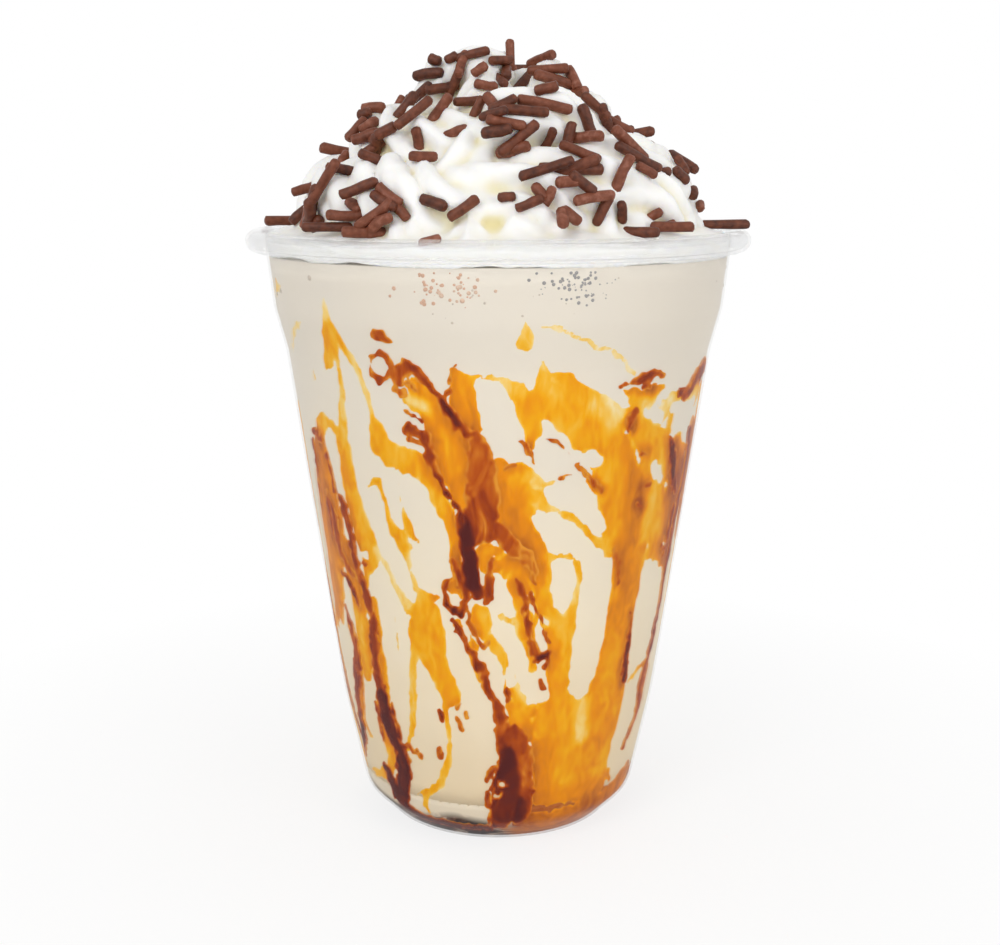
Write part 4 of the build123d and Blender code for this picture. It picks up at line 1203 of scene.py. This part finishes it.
def sprinkleMaterial():
    # chocolate vermicelli, extruded and dried: matt, with a faint bloom and grain
    material, tree = newMaterial("chocolateVermicelli")
    place = addNode(tree, "TexCoord")
    tint = addNode(tree, "Attribute", {"attribute_name": "tint"})
    grain = addNode(tree, "TexNoise", {"Scale": 900.0, "Detail": 4.0}, {"Vector": place.outputs["Object"]})
    total = addNode(tree, "Math", {"operation": "MULTIPLY_ADD", 1: 0.55},
                    {0: tint.outputs["Fac"], 2: grain.outputs["Fac"]})
    fade = addNode(tree, "MapRange", {"From Min": 0.35, "From Max": 1.15},
                   {"Value": total.outputs["Value"]})
    ramp = addNode(tree, "ValToRGB", {"stops": [(0.0, "#401d0f"), (0.45, "#66341f"), (0.8, "#7c4530"),
                                                (1.0, "#905b48")]},
                   {"Fac": fade.outputs["Result"]})
    bump = addNode(tree, "Bump", {"Strength": 0.35, "Distance": 0.00015}, {"Height": grain.outputs["Fac"]})
    shader = addNode(tree, "BsdfPrincipled", {"Roughness": 0.52, "IOR": 1.45, "Specular IOR Level": 0.4},
                     {"Base Color": ramp.outputs["Color"], "Normal": bump.outputs["Normal"]})
    addNode(tree, "OutputMaterial", {}, {"Surface": shader.outputs["BSDF"]})
    return material


def bubbleMaterial():
    # thin-skinned bubbles against the wall: brownish where cocoa is about, grey elsewhere
    material, tree = newMaterial("foamBubbles")
    tint = addNode(tree, "Attribute", {"attribute_name": "tint"})
    ramp = addNode(tree, "ValToRGB", {"stops": [(0.0, "#8f8f90"), (0.3, "#b0aaa4"), (0.6, "#d8c8b6"),
                                                (1.0, "#cfa084")]},
                   {"Fac": tint.outputs["Fac"]})
    shader = addNode(tree, "BsdfPrincipled", {"Roughness": 0.25, "IOR": 1.33},
                     {"Base Color": ramp.outputs["Color"]})
    addNode(tree, "OutputMaterial", {}, {"Surface": shader.outputs["BSDF"]})
    return material


setMaterial(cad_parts["cup"], petMaterial())
setMaterial(drink, drinkMaterial())
setMaterial(settled, settledMaterial())
setMaterial(caramelFilm, caramelMaterial())
setMaterial(chocolateFilm, chocolateMaterial())
setMaterial(whipped, creamMaterial())
setMaterial(sprinklePiece, sprinkleMaterial())
setMaterial(bubblePiece, bubbleMaterial())
print("materials made")

for piece in (drink, settled, caramelFilm, chocolateFilm, whipped, sprinklePiece, bubblePiece):
    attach(piece, "root")
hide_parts("milkshake")
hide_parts("sauce_pool")
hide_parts("whipped_cream")


# floor, light and camera
studio = {"keyPower": 2.2, "fillPower": 1.5, "worldLight": 0.58, "floorSize": 4.0, "lens": 53.8,
          "lookDown": 11.74, "across": 0.34}  # lamps in W, floor in m, camera in mm and degrees

bpy.ops.object.select_all(action="DESELECT")
bpy.ops.mesh.primitive_plane_add(size=studio["floorSize"], location=(0, 0, 0))
floor = bpy.context.view_layer.objects.active
floor.name = "floor"
material, tree = newMaterial("paintedFloor")
seen = seenRays(tree)
place = addNode(tree, "TexCoord")
away = addNode(tree, "VectorMath", {"operation": "LENGTH"}, {0: place.outputs["Object"]})
fade = addNode(tree, "MapRange", {"From Min": 0.03, "From Max": 0.16, "To Min": 0.80, "To Max": 1.0},
               {"Value": away.outputs["Value"]})
share = addNode(tree, "Math", {"operation": "MULTIPLY"},
                {0: seen.outputs["Value"], 1: fade.outputs["Result"]})
paint = addNode(tree, "BsdfDiffuse", {"Color": srgb("#f6f5f3")})
glow = addNode(tree, "Emission", {"Color": (1, 1, 1, 1), "Strength": 1.0})
mix = addNode(tree, "MixShader", {},
              {0: share.outputs["Value"], 1: paint.outputs["BSDF"], 2: glow.outputs["Emission"]})
addNode(tree, "OutputMaterial", {}, {"Surface": mix.outputs["Shader"]})
setMaterial(floor, material)

world = bpy.data.worlds.new("paleRoom")
scene.world = world
world.use_nodes = True
tree = world.node_tree
tree.nodes.clear()
seen = seenRays(tree)
strength = addNode(tree, "MapRange", {"To Min": studio["worldLight"], "To Max": 1.0},
                   {"Value": seen.outputs["Value"]})
sky = addNode(tree, "Background", {"Color": (1, 1, 1, 1)}, {"Strength": strength.outputs["Result"]})
addNode(tree, "OutputWorld", {}, {"Surface": sky.outputs["Background"]})


def addLamp(name, place, aim, size, power):
    data = bpy.data.lights.new(name, "AREA")
    data.shape = "DISK"
    data.size = size
    data.energy = power
    lamp = bpy.data.objects.new(name, data)
    lamp.location = place
    lamp.rotation_euler = (Vector(aim) - Vector(place)).to_track_quat("-Z", "Y").to_euler()
    scene.collection.objects.link(lamp)


addLamp("keyLamp", (-0.35, -0.6, 0.5), (0, 0, 0.08), 0.45, studio["keyPower"])
addLamp("fillLamp", (0.55, -0.5, 0.3), (0, 0, 0.08), 0.5, studio["fillPower"])

cameraData = bpy.data.cameras.new("camera")
cameraData.lens = studio["lens"]
cameraData.sensor_width = 36
cameraData.clip_start = 0.01
camera = bpy.data.objects.new("camera", cameraData)
camera.location = eye + Vector((studio["across"], 0, 0)) * mm
camera.rotation_euler = (math.radians(90 - studio["lookDown"]), 0, 0)
scene.collection.objects.link(camera)
scene.camera = camera
scene.view_settings.view_transform = "Standard"
print("stage set")
